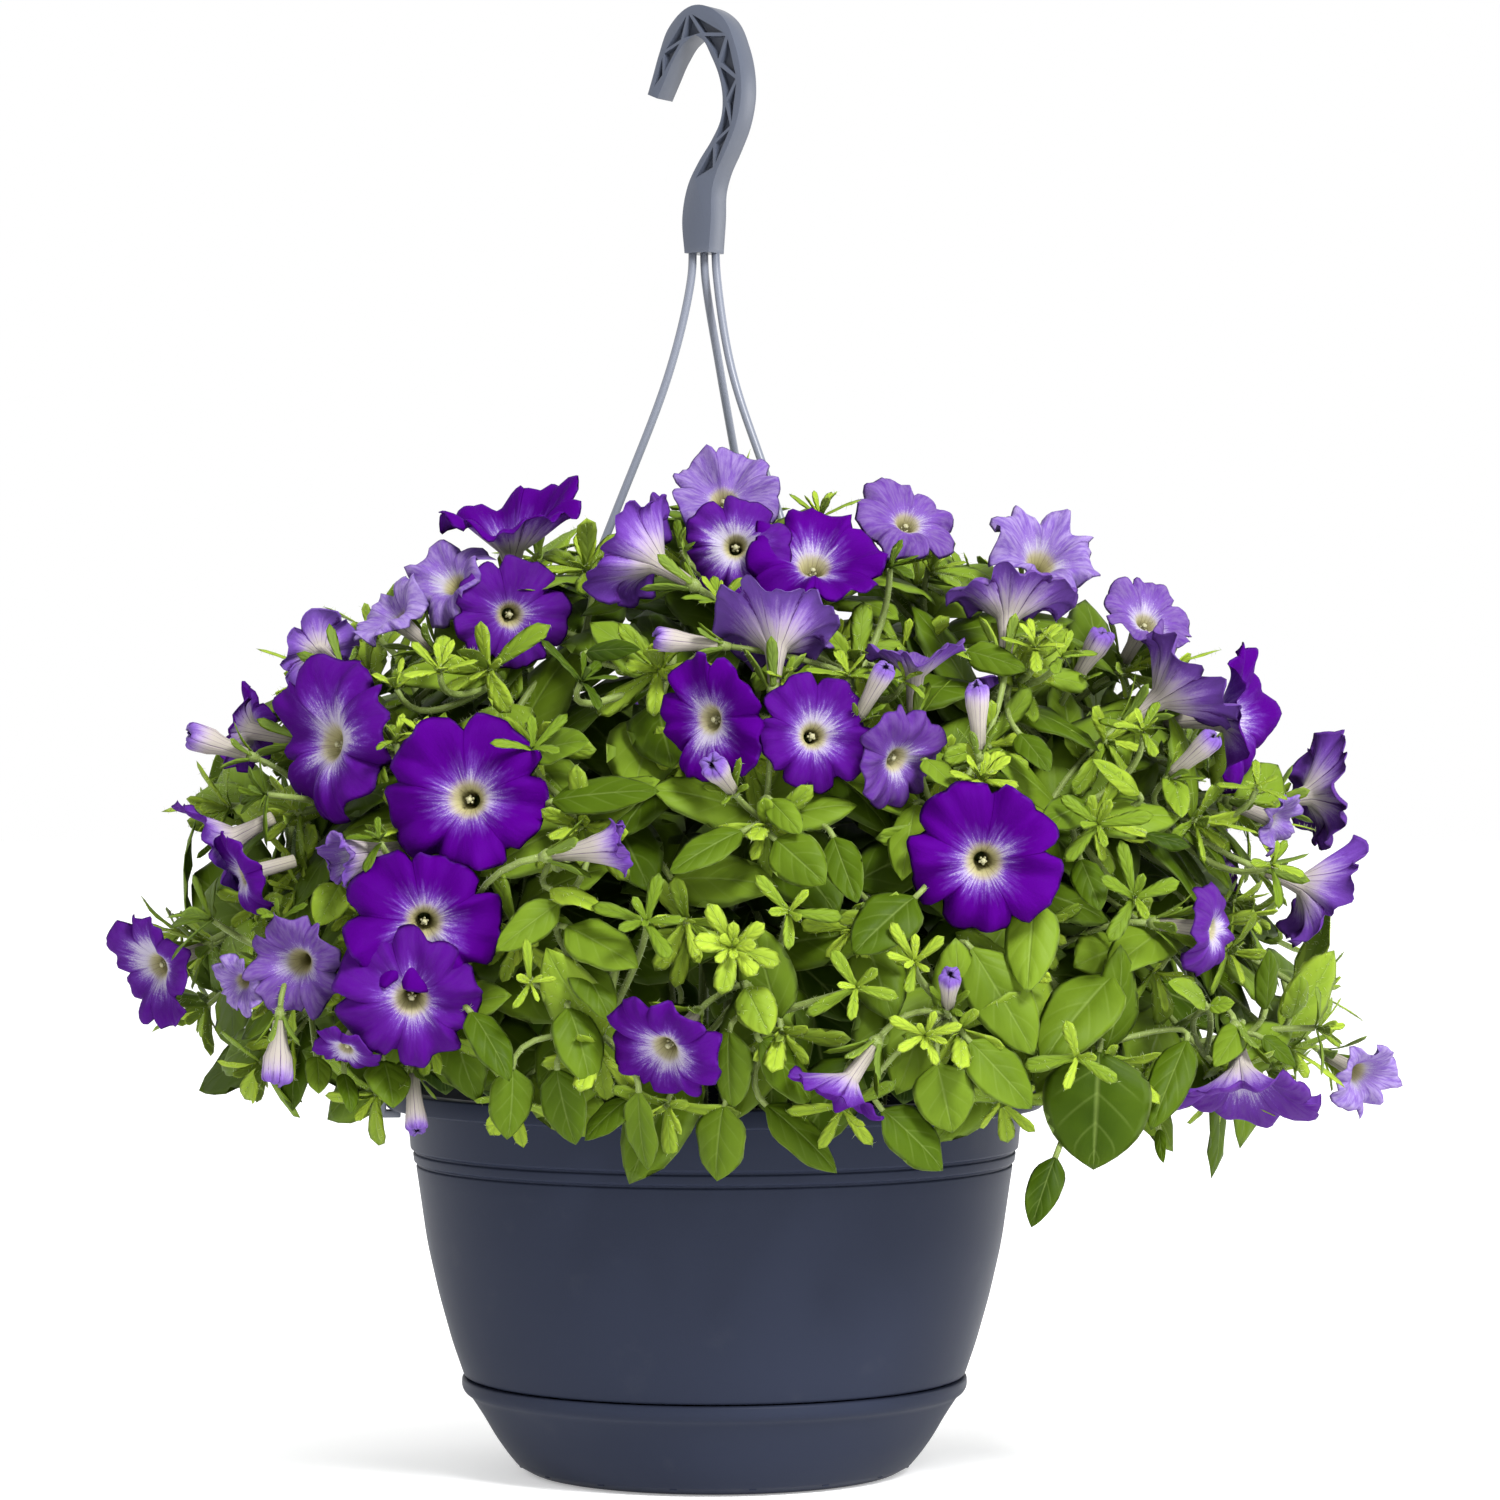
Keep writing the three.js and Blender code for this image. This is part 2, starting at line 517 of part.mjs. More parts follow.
class Garden {
  constructor() {
    this.obstacles = [];
  }

  add(solid, owner, kind) {
    this.obstacles.push({ solid, box: solid.boundingBox(), owner, kind });
  }

  isClear(solid, passes) {
    const box = solid.boundingBox();
    return this.obstacles.every((o) => passes(o) || !boxesMeet(box, o.box)
      || solid.intersect(o.solid).isEmpty());
  }
}

// shoots of all stems: the main ones first, then the branches, each nudged until it is clear
function growShoots(garden, stems) {
  const place = (stem, tip, start, heading, { radius, sides, steps, lift }) => {
    for (const nudge of NUDGES) {
      const curve = shootCurve(start, heading, lift, [tip[0] + nudge, tip[1]]);
      if (garden.isClear(tube(curve, radius + GAP, sides, steps), (o) => o.owner === stem.name)) {
        const solid = tube(curve, radius, sides, steps);
        garden.add(solid, stem.name, 'shoot');
        stem.solids.push(solid);
        stem.shoots.push({ curve, steps, span: spanOf(curve), stem, index: stem.shoots.length });
        return;
      }
    }
    console.error(`no clear way for a shoot of ${stem.name} to ${tip}`);
  };
  for (const stem of stems) {
    place(stem, stem.tips[0], rootPoint(stem.root), UP, STEM);
  }
  for (const stem of stems) {
    const main = stem.shoots[0];
    stem.tips.slice(1).forEach((tip, i) => {
      const t = BRANCH.firstShare + BRANCH.shareStep * i;
      place(stem, tip, chordPoint(main, t), main.curve.getTangent(t), BRANCH);
    });
  }
}

// ways from a bloom's foot back to the shoots, shortest and straightest first
function stalkWays({ foot, axes }, stems) {
  const back = axes[2].clone().negate();
  const start = along(foot, CALYX.height + GAP, back);
  const ways = stems.flatMap((stem) => stem.shoots.flatMap((shoot) => STALK_SHARES.map((t) => {
    const end = chordPoint(shoot, t);
    const span = end.distanceTo(start);
    const turn = end.clone().sub(start).dot(back) / span;
    return { stem, cost: span + STALK.turnCost * (1 - turn), curve: new THREE.QuadraticBezierCurve3(start,
      along(start, STALK.bend * span, back), end) };
  })));
  return ways.sort((a, b) => a.cost - b.cost).slice(0, STALK.tries);
}

function growStalks(garden, stems, blooms) {
  for (const bloom of blooms) {
    const way = stalkWays(bloom, stems).find(({ stem, curve }) =>
      garden.isClear(calyxOnStalk(bloom, curve, GAP),
        (o) => o.owner === stem.name || o.kind === bloom.index));
    if (!way) {
      console.error(`no clear stalk for ${bloom.name} at ${BLOOMS[bloom.index].slice(1, 4)}`);
      continue;
    }
    const solid = calyxOnStalk(bloom, way.curve);
    way.stem.solids.push(solid);
    garden.add(solid, way.stem.name, 'calyx');
  }
}

function leafAt(shoot, distance, order, attempt) {
  const draw = draws(shoot.stem.index * 1000 + shoot.index * 100 + order + 7);
  const t = 1 - distance / shoot.span;
  const foot = chordPoint(shoot, t), tangent = shoot.curve.getTangent(t);
  const out = outward(foot), east = UP.clone().cross(out).normalize(), north = out.clone().cross(east);
  const turn = rad(draw() * 50 + shoot.index * 70 + order * GOLDEN_TURN + LEAF_TRIES[attempt]);
  const ahead = along(vec(0, 0, 0), Math.cos(turn), east, Math.sin(turn), north, 0.3, tangent,
    0.1 + 0.35 * draw(), out).normalize();
  const face = along(vec(0, 0, 0), 0.85, out, 0.4, UP, 0.5 * (draw() - 0.5), east);
  const upper = along(face, -face.dot(ahead), ahead).normalize();
  const age = Math.min(1, 0.68 + distance / 110);
  const size = age * (0.88 + 0.3 * draw());
  return { foot, ahead, upper, length: LEAF.length * size, width: LEAF.width * size,
    droop: 0.12 + 0.2 * draw(), wave: [0, 1, 2, 3].map(() => LEAF.wave * (draw() - 0.5)) };
}

function tipLeafAt(shoot) {
  const draw = draws(shoot.stem.index * 1000 + shoot.index * 100 + 77);
  const foot = chordPoint(shoot, TIP_LEAF.share), tangent = shoot.curve.getTangent(TIP_LEAF.share);
  const out = outward(foot), east = UP.clone().cross(out).normalize();
  const ahead = along(tangent, 0.5 * (draw() - 0.5), east, 0.25, UP).normalize();
  const face = along(out, 0.6, UP);
  const upper = along(face, -face.dot(ahead), ahead).normalize();
  return { foot, ahead, upper, ...TIP_LEAF, droop: 0.15, wave: [0, 0, 0, 0] };
}

function growLeaves(garden, stems) {
  const shoots = stems.flatMap((stem) => stem.shoots);
  const place = (shoot, leaf) => {
    const own = shoot.stem.name, kin = `${own} ${shoot.index}`;
    const clear = garden.isClear(blade(leaf, GAP),
      (o) => o.kind === kin || (o.owner === own && o.kind !== 'calyx'
      && !o.kind.startsWith(own)));
    if (!clear) return false;
    const solid = blade(leaf);
    shoot.stem.solids.push(solid);
    garden.add(solid, own, kin);
    return true;
  };
  shoots.forEach((shoot) => place(shoot, tipLeafAt(shoot)));
  LEAF_PLACES.forEach((distance, order) => shoots.forEach((shoot) => {
    if (order >= (shoot.stem.leaves ?? LEAF_PLACES.length)) return;
    LEAF_TRIES.some((_, attempt) => place(shoot, leafAt(shoot, distance, order, attempt)));
  }));
}

// ---- assembly ----

const PLASTIC = { color: '#3a3e4c', roughness: 0.38, metalness: 0 };
const HANGER_PLASTIC = { color: '#6b7280', roughness: 0.4, metalness: 0 };
const COMPOST = { color: '#2b1d14', roughness: 0.95, metalness: 0 };
const GREEN = { color: '#5c8a2e', roughness: 0.55, metalness: 0 };
const VIOLET = { color: '#5f00b8', roughness: 0.5, metalness: 0 };
const LAVENDER = { color: '#c3b2ea', roughness: 0.55, metalness: 0 };

const potSolid = pot(), hangerSolid = hanger(), soilSolid = soil();
const garden = new Garden();
garden.add(potSolid, 'pot', 'pot');
garden.add(hangerSolid, 'hanger', 'hanger');
garden.add(soilSolid, 'soil', 'soil');

const blooms = BLOOMS.map(readBloom);
const bloomSolids = new Map();
for (const bloom of blooms) {
  const solid = corolla(bloom);
  garden.add(solid, bloom.name, bloom.index);
  bloomSolids.set(bloom.name, [...(bloomSolids.get(bloom.name) ?? []), { solid, form: bloom.form }]);
}

const stems = STEMS.map((stem, index) => ({ ...stem, index, shoots: [], solids: [] }));
growShoots(garden, stems);
growStalks(garden, stems, blooms);
growLeaves(garden, stems);

const basket = new THREE.Group();
basket.add(
  namedMesh('pot', potSolid, PLASTIC),
  namedMesh('saucer', saucer(), PLASTIC),
  namedMesh('hanger', hangerSolid, HANGER_PLASTIC),
  namedMesh('soil', soilSolid, COMPOST),
  ...stems.map((stem) => namedMesh(stem.name, joined(stem.solids), GREEN)),
  ...[...bloomSolids].map(([name, parts]) => namedMesh(name, joined(parts.map((p) => p.solid)),
    parts[0].form === 'faded' ? LAVENDER : VIOLET)),
);

export default basket;
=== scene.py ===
"""Petunia hanging basket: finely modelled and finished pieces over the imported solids."""

import math

import bmesh
import bpy
import numpy as np
from bpy.props import FloatProperty, FloatVectorProperty, IntProperty, PointerProperty
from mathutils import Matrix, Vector, kdtree
from mathutils.bvhtree import BVHTree


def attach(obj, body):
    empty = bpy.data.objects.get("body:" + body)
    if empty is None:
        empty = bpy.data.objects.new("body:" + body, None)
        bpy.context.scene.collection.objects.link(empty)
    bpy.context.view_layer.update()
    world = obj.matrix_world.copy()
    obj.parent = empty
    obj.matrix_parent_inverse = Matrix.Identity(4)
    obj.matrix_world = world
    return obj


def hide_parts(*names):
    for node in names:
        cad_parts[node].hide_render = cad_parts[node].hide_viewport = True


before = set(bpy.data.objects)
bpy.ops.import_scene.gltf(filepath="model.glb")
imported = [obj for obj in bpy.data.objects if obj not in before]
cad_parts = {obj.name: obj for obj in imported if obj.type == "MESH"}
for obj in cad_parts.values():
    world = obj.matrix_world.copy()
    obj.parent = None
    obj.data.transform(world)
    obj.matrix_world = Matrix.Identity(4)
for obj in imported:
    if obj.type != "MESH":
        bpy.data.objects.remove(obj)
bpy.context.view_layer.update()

bl_info = {
    "name": "Petunia hanging basket",
    "version": (1, 0, 0),
    "blender": (4, 5, 0),
    "location": "View3D > Sidebar > Basket",
    "description": "Builds the pot, hanger, leafy stems and blooms of a petunia basket",
    "category": "Add Mesh",
}

MM = 0.001
UP = Vector((0, 0, 1))

# ---- sizes shared with the solids, in millimetres ----

POT = {
    "wall": 1.8, "floor_under": 2.35, "floor_top": 4.2, "foot": 76.4, "seat": (95.6, 38.2),
    "wall_foot": (103, 39.2), "waist": (113, 72), "step": (125, 132),
    "lip": 135, "lip_under": 149, "lip_top": 157, "mouth": 125.6,
    "drain": 4, "drain_ring": 45, "drains": 6, "drain_height": 3.3, "drain_depth": 6,
}
RIDGE = {"ring": 80.1, "height": 2.6, "size": (1.9, 3.2, 0.9), "trim": 0.4}
COMPOST = {"reach": 120.4, "edge": 138, "rise": 6, "slope": 60, "loose": 136}
HOOK = {
    "steps": 132, "measured": 400, "first": 0.02, "through": 6, "trim": 0.55,
    "axis_x": -4.3, "turn": -31, "thickness": 12, "pocket_depth": 4, "rim": 1.7, "rib_share": 0.8,
    "pitch": 9.4, "pockets_end": 0.82,
    "spine": [
        (-21.4, 565.5, 2.5), (-18.2, 573, 3.1), (-14.4, 581.8, 3.9), (-9.2, 590.4, 5.2),
        (-0.8, 595.6, 6.2), (7.6, 591.6, 6.4), (12.6, 582.6, 6), (15.8, 573.2, 5.2),
        (16.9, 563, 4.4), (15.2, 552.6, 3.8), (10.7, 543.4, 4.1), (5.2, 534.6, 4.9),
        (1.4, 525.6, 6), (0, 514, 6.9), (0, 500, 5.8),
    ],
}
STRANDS = [
    (188, [(-9, 0, 506), (-9.6, -0.3, 490), (-18.3, -2.6, 452), (-42.6, -6, 388)]),
    (318, [(0.2, 0, 506), (1, -1.6, 490), (7, -7, 452), (24.1, -22, 399)]),
    (68, [(-4.4, 0.4, 506), (-3.8, 2, 490), (2, 14.5, 454), (12, 37, 398)]),
]
STRAND_RADIUS = 1.7
CLIP = {"width": 8, "thickness": 3, "leg_foot": 150, "hook_foot": 145.6, "reach": 129.5,
        "strand": 136.4, "trim": 1.5}
GAP = 0.35

MOUND_CENTRE, MOUND_REACH, MOUND_FILL = Vector((10, 5, 188)), (262, 205, 232), 0.9
STEM = {"radius": 2.1, "steps": 6, "lift": 0.6, "root": 127.4}
BRANCH = {"radius": 1.7, "steps": 3, "lift": 0.3, "first": 0.42, "step": 0.12}
DROOP, ARRIVAL = 0.7, 0.42
NUDGES = (0, 5, -5, 10, -10, 15, -15)
LEAF_PLACES = (8, 26, 46)
MORE_LEAVES, SIDE_LEAVES = (17, 36, 56, 66, 78, 90, 104, 120), (12, 26, 40, 54, 68, 84)
LARGE_LEAF_BACKS = (0, 4, -4, 8, 12, 18)
GOLDEN_TURN = 137.5
LEAF_TURNS = (0, 40, -40, 80, -80, 125, -125, 180)
CALYX = {"height": 5, "lobe": 15, "spread": 7.2}
LOBE_TURNS = [math.pi / 5 + 2 * math.pi * i / 5 for i in range(5)]
STALK_SHARES = (0.25, 0.35, 0.45, 0.55, 0.65, 0.75, 0.85, 0.93)

# corollas: notch and ruffle as shares of the rim's radius, the radius from which a rim has more
# ruffles, and for each form the radius and the depth of the tube's mouth as shares of the rim's radius
NOTCH, RUFFLE, LARGE = 0.13, 0.1, 26.9
THROATS = {"open": (0.26, -0.24), "trumpet": (0.2, -0.54), "faded": (0.28, -0.5),
           "half": (0.45, -1.1), "bud": (0.8, -1.6)}

# what each kind of random draw starts from
SEEDS = {"leaf": 7, "tip_leaf": 77, "compost": 31, "rim": 501, "corolla": 901, "stem": 4001,
         "large_leaf": 7001, "hairs": 11001}

# what is finer than in the solids: the mouth of the tube as a share of theirs, a corolla's columns
# and rows, how much each form crumples, and how near a solid's corner has to lie to be the one sought
FUNNEL = {"open": 0.74, "trumpet": 0.85, "faded": 0.8}
COROLLA_DETAIL = {"large": (84, 17), "small": (64, 17), "bud": (40, 8)}
CRUMPLE = {"open": 1.5, "trumpet": 1.6, "faded": 2.1, "half": 1.5, "bud": 1.2}

# thickness of a blade, radius of a tube's foot, where the flare starts along a corolla, number of the
# first bud; a crowd that is never too dense; where the front is kept clear for the blooms, and the
# heights in metres between which the strands turn into the hook
BLADE_THICK, TUBE_FOOT, FLARE_FROM, FIRST_BUD = 0.5, 2.2, 0.36, 60
ANY_CROWD = 99
FRONT = {"y": -95, "reach": 0.87}
# STRAND_TOPS also bounds the strands' painted highlight
STRAND_TOPS = (0.49, 0.504)
NEAR = {"leaf": 0.15, "calyx": 0.3, "stalk": 0.06}

# stems: root azimuth and distance, then the mound directions of the shoot tips
STEMS = {
    "stem_left": (192, 66, [(203, 8), (187, 9), (196, 24), (190, 42)]),
    "stem_front_left": (214, 50, [(215, 23), (222, 4), (212, 42)]),
    "stem_front_a": (236, 66, [(235, 22), (240, 0), (236, 42), (240, 60)]),
    "stem_front_b": (254, 50, [(254, 22), (257, -2), (260, 42)]),
    "stem_front_c": (273, 68, [(273, 22), (274, 0), (275, 60), (270, 80)]),
    "stem_front_d": (292, 50, [(292, 22), (291, 0), (285, 42)]),
    "stem_front_e": (310, 68, [(310, 22), (308, -4), (309, 42), (310, 60)]),
    "stem_front_right": (330, 50, [(328, 22), (325, -6), (332, 42)]),
    "stem_right": (350, 68, [(345, 22), (342, -4), (352, 42)]),
    "stem_back_right": (20, 60, [(20, 8), (358, 2), (30, 27)]),
    "stem_back_a": (60, 62, [(62, 22), (50, 0), (60, 50)]),
    "stem_back_b": (95, 62, [(95, 25), (98, 0), (95, 55), (90, 78)]),
    "stem_back_c": (128, 62, [(128, 22), (145, 0), (130, 50)]),
    "stem_back_left": (162, 62, [(165, 22), (165, 0), (165, 48)]),
}
TWO_LEAVED = ("stem_back_right", "stem_back_a", "stem_back_b", "stem_back_c", "stem_back_left")

# blooms: number of the node, rim centre, rim radius, facing azimuth and elevation, form, and how
# faded they are
BLOOMS = [
    (1, -81, -72, 389.5, 28, -10, 78, "trumpet", 0), (2, -106, -92, 365, 18, -34, 32, "faded", 0.62),
    (3, -79, -102, 348, 22.5, 8, -5, "open", 0.04), (4, -129, -92, 351, 16.5, -62, 38, "faded", 0.88),
    (5, -157, -85, 335, 17.5, -150, 20, "open", 0.5), (6, -153, -122, 299, 32.5, -54, 8, "open", 0.02),
    (7, -188, -66, 304, 17.5, -112, 10, "open", 0),
    (8, -196, -106, 256, 22.5, -98, -28, "trumpet", 0.08),
    (8, -185, -126, 246, 17.5, -70, -15, "open", 0.02),
    (10, -144, -151, 253, 11.5, -60, -10, "half", 0.45), (11, -93, -166, 277, 30.5, -6, 2, "open", 0),
    (12, -108, -175, 230, 28.5, 4, -4, "open", 0), (12, -113, -176, 200, 28, 2, -14, "open", 0.03),
    (14, -222, -89, 209, 23, -42, -15, "open", 0.05),
    (16, -183, -138, 205, 11.5, -30, -16, "faded", 0.8),
    (16, -161, -149, 213, 20, -20, -8, "faded", 0.38),
    (17, -140, -160, 180, 13.5, -30, -45, "open", 0.05), (18, -4, -171, 307, 25, -42, 0, "open", 0),
    (19, 39, -173, 301, 22.5, 8, 3, "open", 0.02), (20, 73, -163, 290, 22, 40, -22, "open", 0.2),
    (21, 4, -81, 398, 22.5, 0, 38, "open", 0.66), (22, 9, -116, 375, 22, 0, 5, "open", 0.04),
    (22, 40, -119, 371, 27.5, 10, 45, "open", 0), (24, 25, -145, 346, 25, 175, 62, "trumpet", 0.45),
    (25, -32, -111, 375, 25, -115, 30, "trumpet", 0.15), (26, 78, -84, 388, 22, 20, 38, "open", 0.38),
    (27, 116, -105, 360, 26, 170, 66, "trumpet", 0.35), (28, 134, -62, 377, 23, 20, 38, "faded", 0.82),
    (29, 78, -145, 335, 20.5, 10, 80, "trumpet", 0.35), (31, 174, -68, 349, 20.5, 25, 40, "open", 0.4),
    (31, 188, -87, 324, 27, 100, 34, "trumpet", 0.32), (31, 211, -70, 309, 31.5, 64, 4, "open", 0),
    (33, 226, -78, 266, 13.5, 60, -20, "faded", 0.8), (34, 256, 5, 279, 23, 108, 10, "trumpet", 0.18),
    (35, 245, -75, 238, 24, 100, -20, "trumpet", 0.2), (36, 196, -135, 226, 17.5, 66, -5, "open", 0.1),
    (37, 103, -178, 253, 30, 2, -4, "open", 0), (38, -19, -199, 182, 23.5, -30, -28, "open", 0.02),
    (39, 46, -197, 165, 19.5, -56, -48, "trumpet", 0.05),
    (40, 206, -128, 157, 30, 8, -60, "trumpet", 0.15), (41, 266, -32, 162, 16, 40, -20, "faded", 1),
    (42, -32, -187, 260, 11, 75, 8, "half", 0.3), (43, 152, 128, 312, 27, 138, 28, "open", 0.05),
    (43, 124, 150, 306, 24, 158, 16, "open", 0.3), (44, 214, 92, 240, 25, 118, 5, "open", 0),
    (45, 18, 158, 340, 26, 178, 34, "open", 0.1), (45, -16, 170, 324, 25, 190, 20, "faded", 0.7),
    (46, -128, 142, 310, 26, 214, 28, "open", 0.05), (46, -155, 132, 290, 25, 232, 12, "open", 0.2),
    (47, 52, 200, 215, 26, 172, -2, "open", 0), (47, 84, 194, 202, 22, 162, -12, "open", 0.25),
    (48, -84, 190, 200, 26, 204, -8, "open", 0.08),
]

# small buds and spent tubes between the blooms: mouth centre, mouth radius, facing, how faded
BUDS = [
    (-206, -96, 302, 6, -80, 20, 0.95), (-166, -151, 168, 6.5, -10, -80, 0.9),
    (-22, -150, 338, 5, -88, 6, 0.75), (100, -172, 320, 5, -14, 78, 1.0),
    (66, -176, 327, 4.5, 40, 50, 0.9), (0, -196, 291, 5.5, -20, 25, 0.85),
    (-112, -156, 150, 4.5, 12, -58, 0.85), (196, -112, 301, 5, 58, 38, 0.95),
    (89, -200, 212, 4.5, 0, 30, 0.9), (154, -96, 342, 5.5, 40, 48, 0.8),
]

# large leaves that face out or hang over the lip: foot, tip, width, tone; the tones near 0 of the rows
# set back just above the lip are painted shade
LARGE_LEAVES = [
    ((-57, -173, 238), (-81, -180, 220), 14, 0.6), ((-55, -175, 229), (-27, -191, 214), 19, 0.62),
    ((-61, -171, 243), (-40, -187, 235), 11, 0.95), ((-51, -178, 216), (-37, -191, 193), 16, 0.45),
    ((-54, -179, 199), (-45, -189, 169), 20, 0.5), ((-91, -168, 197), (-75, -183, 171), 15, 0.3),
    ((-75, -173, 176), (-77, -172, 148), 17, 0.5), ((-58, -178, 176), (-51, -172, 146), 17, 0.35),
    ((-27, -183, 168), (-24, -166, 136), 13, 0.5), ((-31, -172, 164), (-48, -172, 148), 13, 0.35),
    ((5, -172, 162), (2, -166, 132), 21, 0.5), ((7, -186, 191), (8, -172, 160), 18, 0.5),
    ((13, -185, 207), (22, -195, 189), 15, 0.85), ((12, -173, 265), (-16, -186, 249), 15, 0.45),
    ((22, -169, 277), (34, -182, 264), 11, 0.6), ((24, -174, 262), (43, -187, 245), 19, 0.5),
    ((46, -171, 263), (55, -187, 238), 14, 0.4), ((77, -173, 240), (53, -190, 219), 22, 0.3),
    ((78, -161, 275), (72, -182, 246), 16, 0.7), ((123, -158, 239), (119, -175, 204), 20, 0.7),
    ((98, -170, 221), (122, -174, 180), 23, 0.6), ((97, -173, 186), (121, -172, 160), 20, 0.55),
    ((85, -176, 178), (91, -172, 151), 22, 0.55), ((154, -147, 209), (124, -173, 176), 27, 0.5),
    ((182, -125, 228), (151, -160, 209), 22, 0.62), ((148, -152, 181), (145, -158, 135), 40, 0.2),
    ((131, -155, 141), (121, -163, 114), 13, 0.15), ((183, -129, 184), (167, -149, 150), 16, 0.35),
    ((141, -145, 254), (148, -158, 234), 13, 0.3), ((20, -172, 162), (48, -166, 135), 16, 0.4),
    ((64, -172, 160), (88, -166, 136), 19, 0.35), ((18, -186, 187), (38, -172, 162), 19, 0.4),
    ((-69, -149, 294), (-46, -164, 299), 16, 0.5), ((-61, -160, 276), (-19, -176, 280), 17, 0.35),
    ((-49, -128, 333), (-27, -145, 334), 9, 0.15), ((98, -117, 334), (122, -127, 326), 12, 0.45),
    ((118, -133, 302), (129, -149, 287), 12, 0.35), ((145, -133, 275), (125, -159, 267), 14, 0.45),
    ((166, -118, 278), (146, -137, 292), 8, 0.9), ((180, -100, 287), (182, -124, 269), 11, 0.8),
    ((167, -125, 263), (185, -127, 258), 8, 0.1), ((81, -152, 292), (93, -166, 280), 12, 0.75),
    ((-143, -135, 244), (-151, -146, 228), 14, 0.85), ((217, -95, 193), (217, -110, 218), 10, 0.4),
    ((228, -80, 189), (231, -94, 208), 12, 0.8), ((207, -107, 189), (193, -134, 173), 12, 0.6),
    ((215, -97, 183), (229, -97, 171), 9, 0.35), ((191, -123, 197), (174, -148, 207), 11, 0.8),
    ((192, -122, 196), (202, -127, 198), 7, 0.8), ((-152, -137, 178), (-150, -150, 164), 10, 0.6),
    ((-141, -144, 172), (-137, -156, 157), 9, 0.3), ((-126, -153, 177), (-121, -165, 159), 17, 0.5),
    ((-165, -128, 191), (-169, -138, 178), 5, 0.8), ((172, -133, 150), (173, -142, 137), 5, 0.3),
    # painted shade: these set-back rows at the front get tones near 0
    ((-88, -112, 196), (-80, -120, 158), 30, 0.05), ((-62, -116, 198), (-70, -122, 162), 28, 0.1),
    ((-38, -118, 194), (-30, -124, 156), 30, 0.0), ((-12, -120, 198), (-18, -126, 160), 28, 0.1),
    ((14, -120, 196), (8, -126, 158), 30, 0.0), ((38, -120, 200), (46, -126, 160), 30, 0.05),
    ((58, -118, 196), (52, -124, 156), 28, 0.1), ((80, -116, 198), (74, -122, 158), 30, 0.0),
    ((100, -112, 196), (96, -120, 156), 30, 0.05), ((120, -104, 198), (118, -112, 160), 28, 0.1),
    ((-106, -100, 198), (-104, -108, 160), 28, 0.05), ((140, -96, 196), (136, -104, 160), 28, 0.0),
    ((-10, 158, 214), (-14, 172, 172), 27, 0.5), ((-34, 152, 222), (-30, 168, 180), 26, 0.35),
    ((-56, 146, 210), (-50, 160, 166), 28, 0.55), ((-78, 134, 220), (-74, 150, 178), 26, 0.3),
    ((-98, 122, 208), (-90, 138, 164), 28, 0.5), ((-44, 142, 240), (-56, 156, 204), 22, 0.6),
    # painted shade: these set-back rows at the back get tones near 0
    ((-20, 118, 200), (-24, 124, 158), 30, 0.05), ((-50, 108, 200), (-54, 114, 158), 30, 0.0),
    ((-80, 90, 200), (-86, 96, 158), 30, 0.05), ((6, 146, 206), (10, 160, 166), 24, 0.4),
]

# hairs: how many a square millimetre, how pale a leaf must be to have them, spread about upright,
# radius at the foot, how far the foot is sunk, shortest and longest
HAIRS = {"stem": 0.12, "young": 0.08, "pale": 0.75, "lean": 0.45, "thick": 0.1, "sunk": 0.15,
         "long": (1.2, 2.4)}

# young tips: centre, facing azimuth and elevation, leaves, their length, tone
ROSETTES = [
    (-105, -130, 325, 0, 59, 9, 18, 0.95), (-111, -144, 299, 0, 68, 8, 13, 0.95),
    (-122, -125, 319, -31, 57, 8, 15, 0.9), (-68, -163, 295, 7, 37, 5, 21, 0.6),
    (-59, -180, 256, 8, 45, 12, 21, 1), (-50, -152, 321, 45, 50, 7, 19, 0.25),
    (42, -93, 386, 0, 81, 9, 17, 0.85), (-12, -112, 373, -45, 51, 7, 16, 0.45),
    (3, -136, 351, -11, 60, 9, 16, 0.8), (69, -114, 366, 0, 68, 9, 16, 0.4),
    (52, -154, 323, 0, 61, 7, 17, 0.85), (73, -152, 321, 27, 46, 7, 12, 0.85),
    (27, -158, 322, 0, 37, 6, 14, 0.75), (125, -121, 334, 0, 61, 9, 16, 0.95),
    (135, -118, 331, 45, 55, 5, 17, 0.7), (102, -164, 283, 9, 53, 11, 17, 1),
    (147, -151, 267, 0, 11, 6, 20, 0.7), (161, -152, 239, 0, 11, 6, 21, 0.65),
    (167, -120, 302, -9, 49, 6, 17, 0.85), (-121, -139, 298, 0, 68, 7, 14, 0.9),
    (-173, -113, 278, -68, 5, 8, 16, 0.45), (-126, -154, 260, -31, 54, 6, 15, 0.45),
    (-194, -113, 229, -76, 36, 7, 27, 0.55), (-165, -139, 230, -40, 33, 6, 13, 0.6),
    (-130, -161, 224, -45, 40, 6, 13, 0.6), (237, -90, 186, 73, 0, 9, 18, 0.8),
    (-24, -192, 231, 0, 24, 7, 19, 0.6), (8, -195, 222, 0, 6, 12, 17, 1.05),
    (-68, -187, 209, 21, -13, 6, 13, 0.9), (54, -193, 207, 0, 6, 6, 18, 0.8),
    (29, -192, 235, 0, 6, 6, 17, 0.8), (80, -189, 189, 0, 0, 9, 15, 1.05),
    (138, -170, 180, 0, -11, 5, 20, 0.85), (76, -189, 216, 0, 18, 8, 15, 0.95),
    (218, -101, 250, 40, 21, 6, 16, 0.8), (214, -89, 280, 22, 56, 6, 15, 0.85),
]

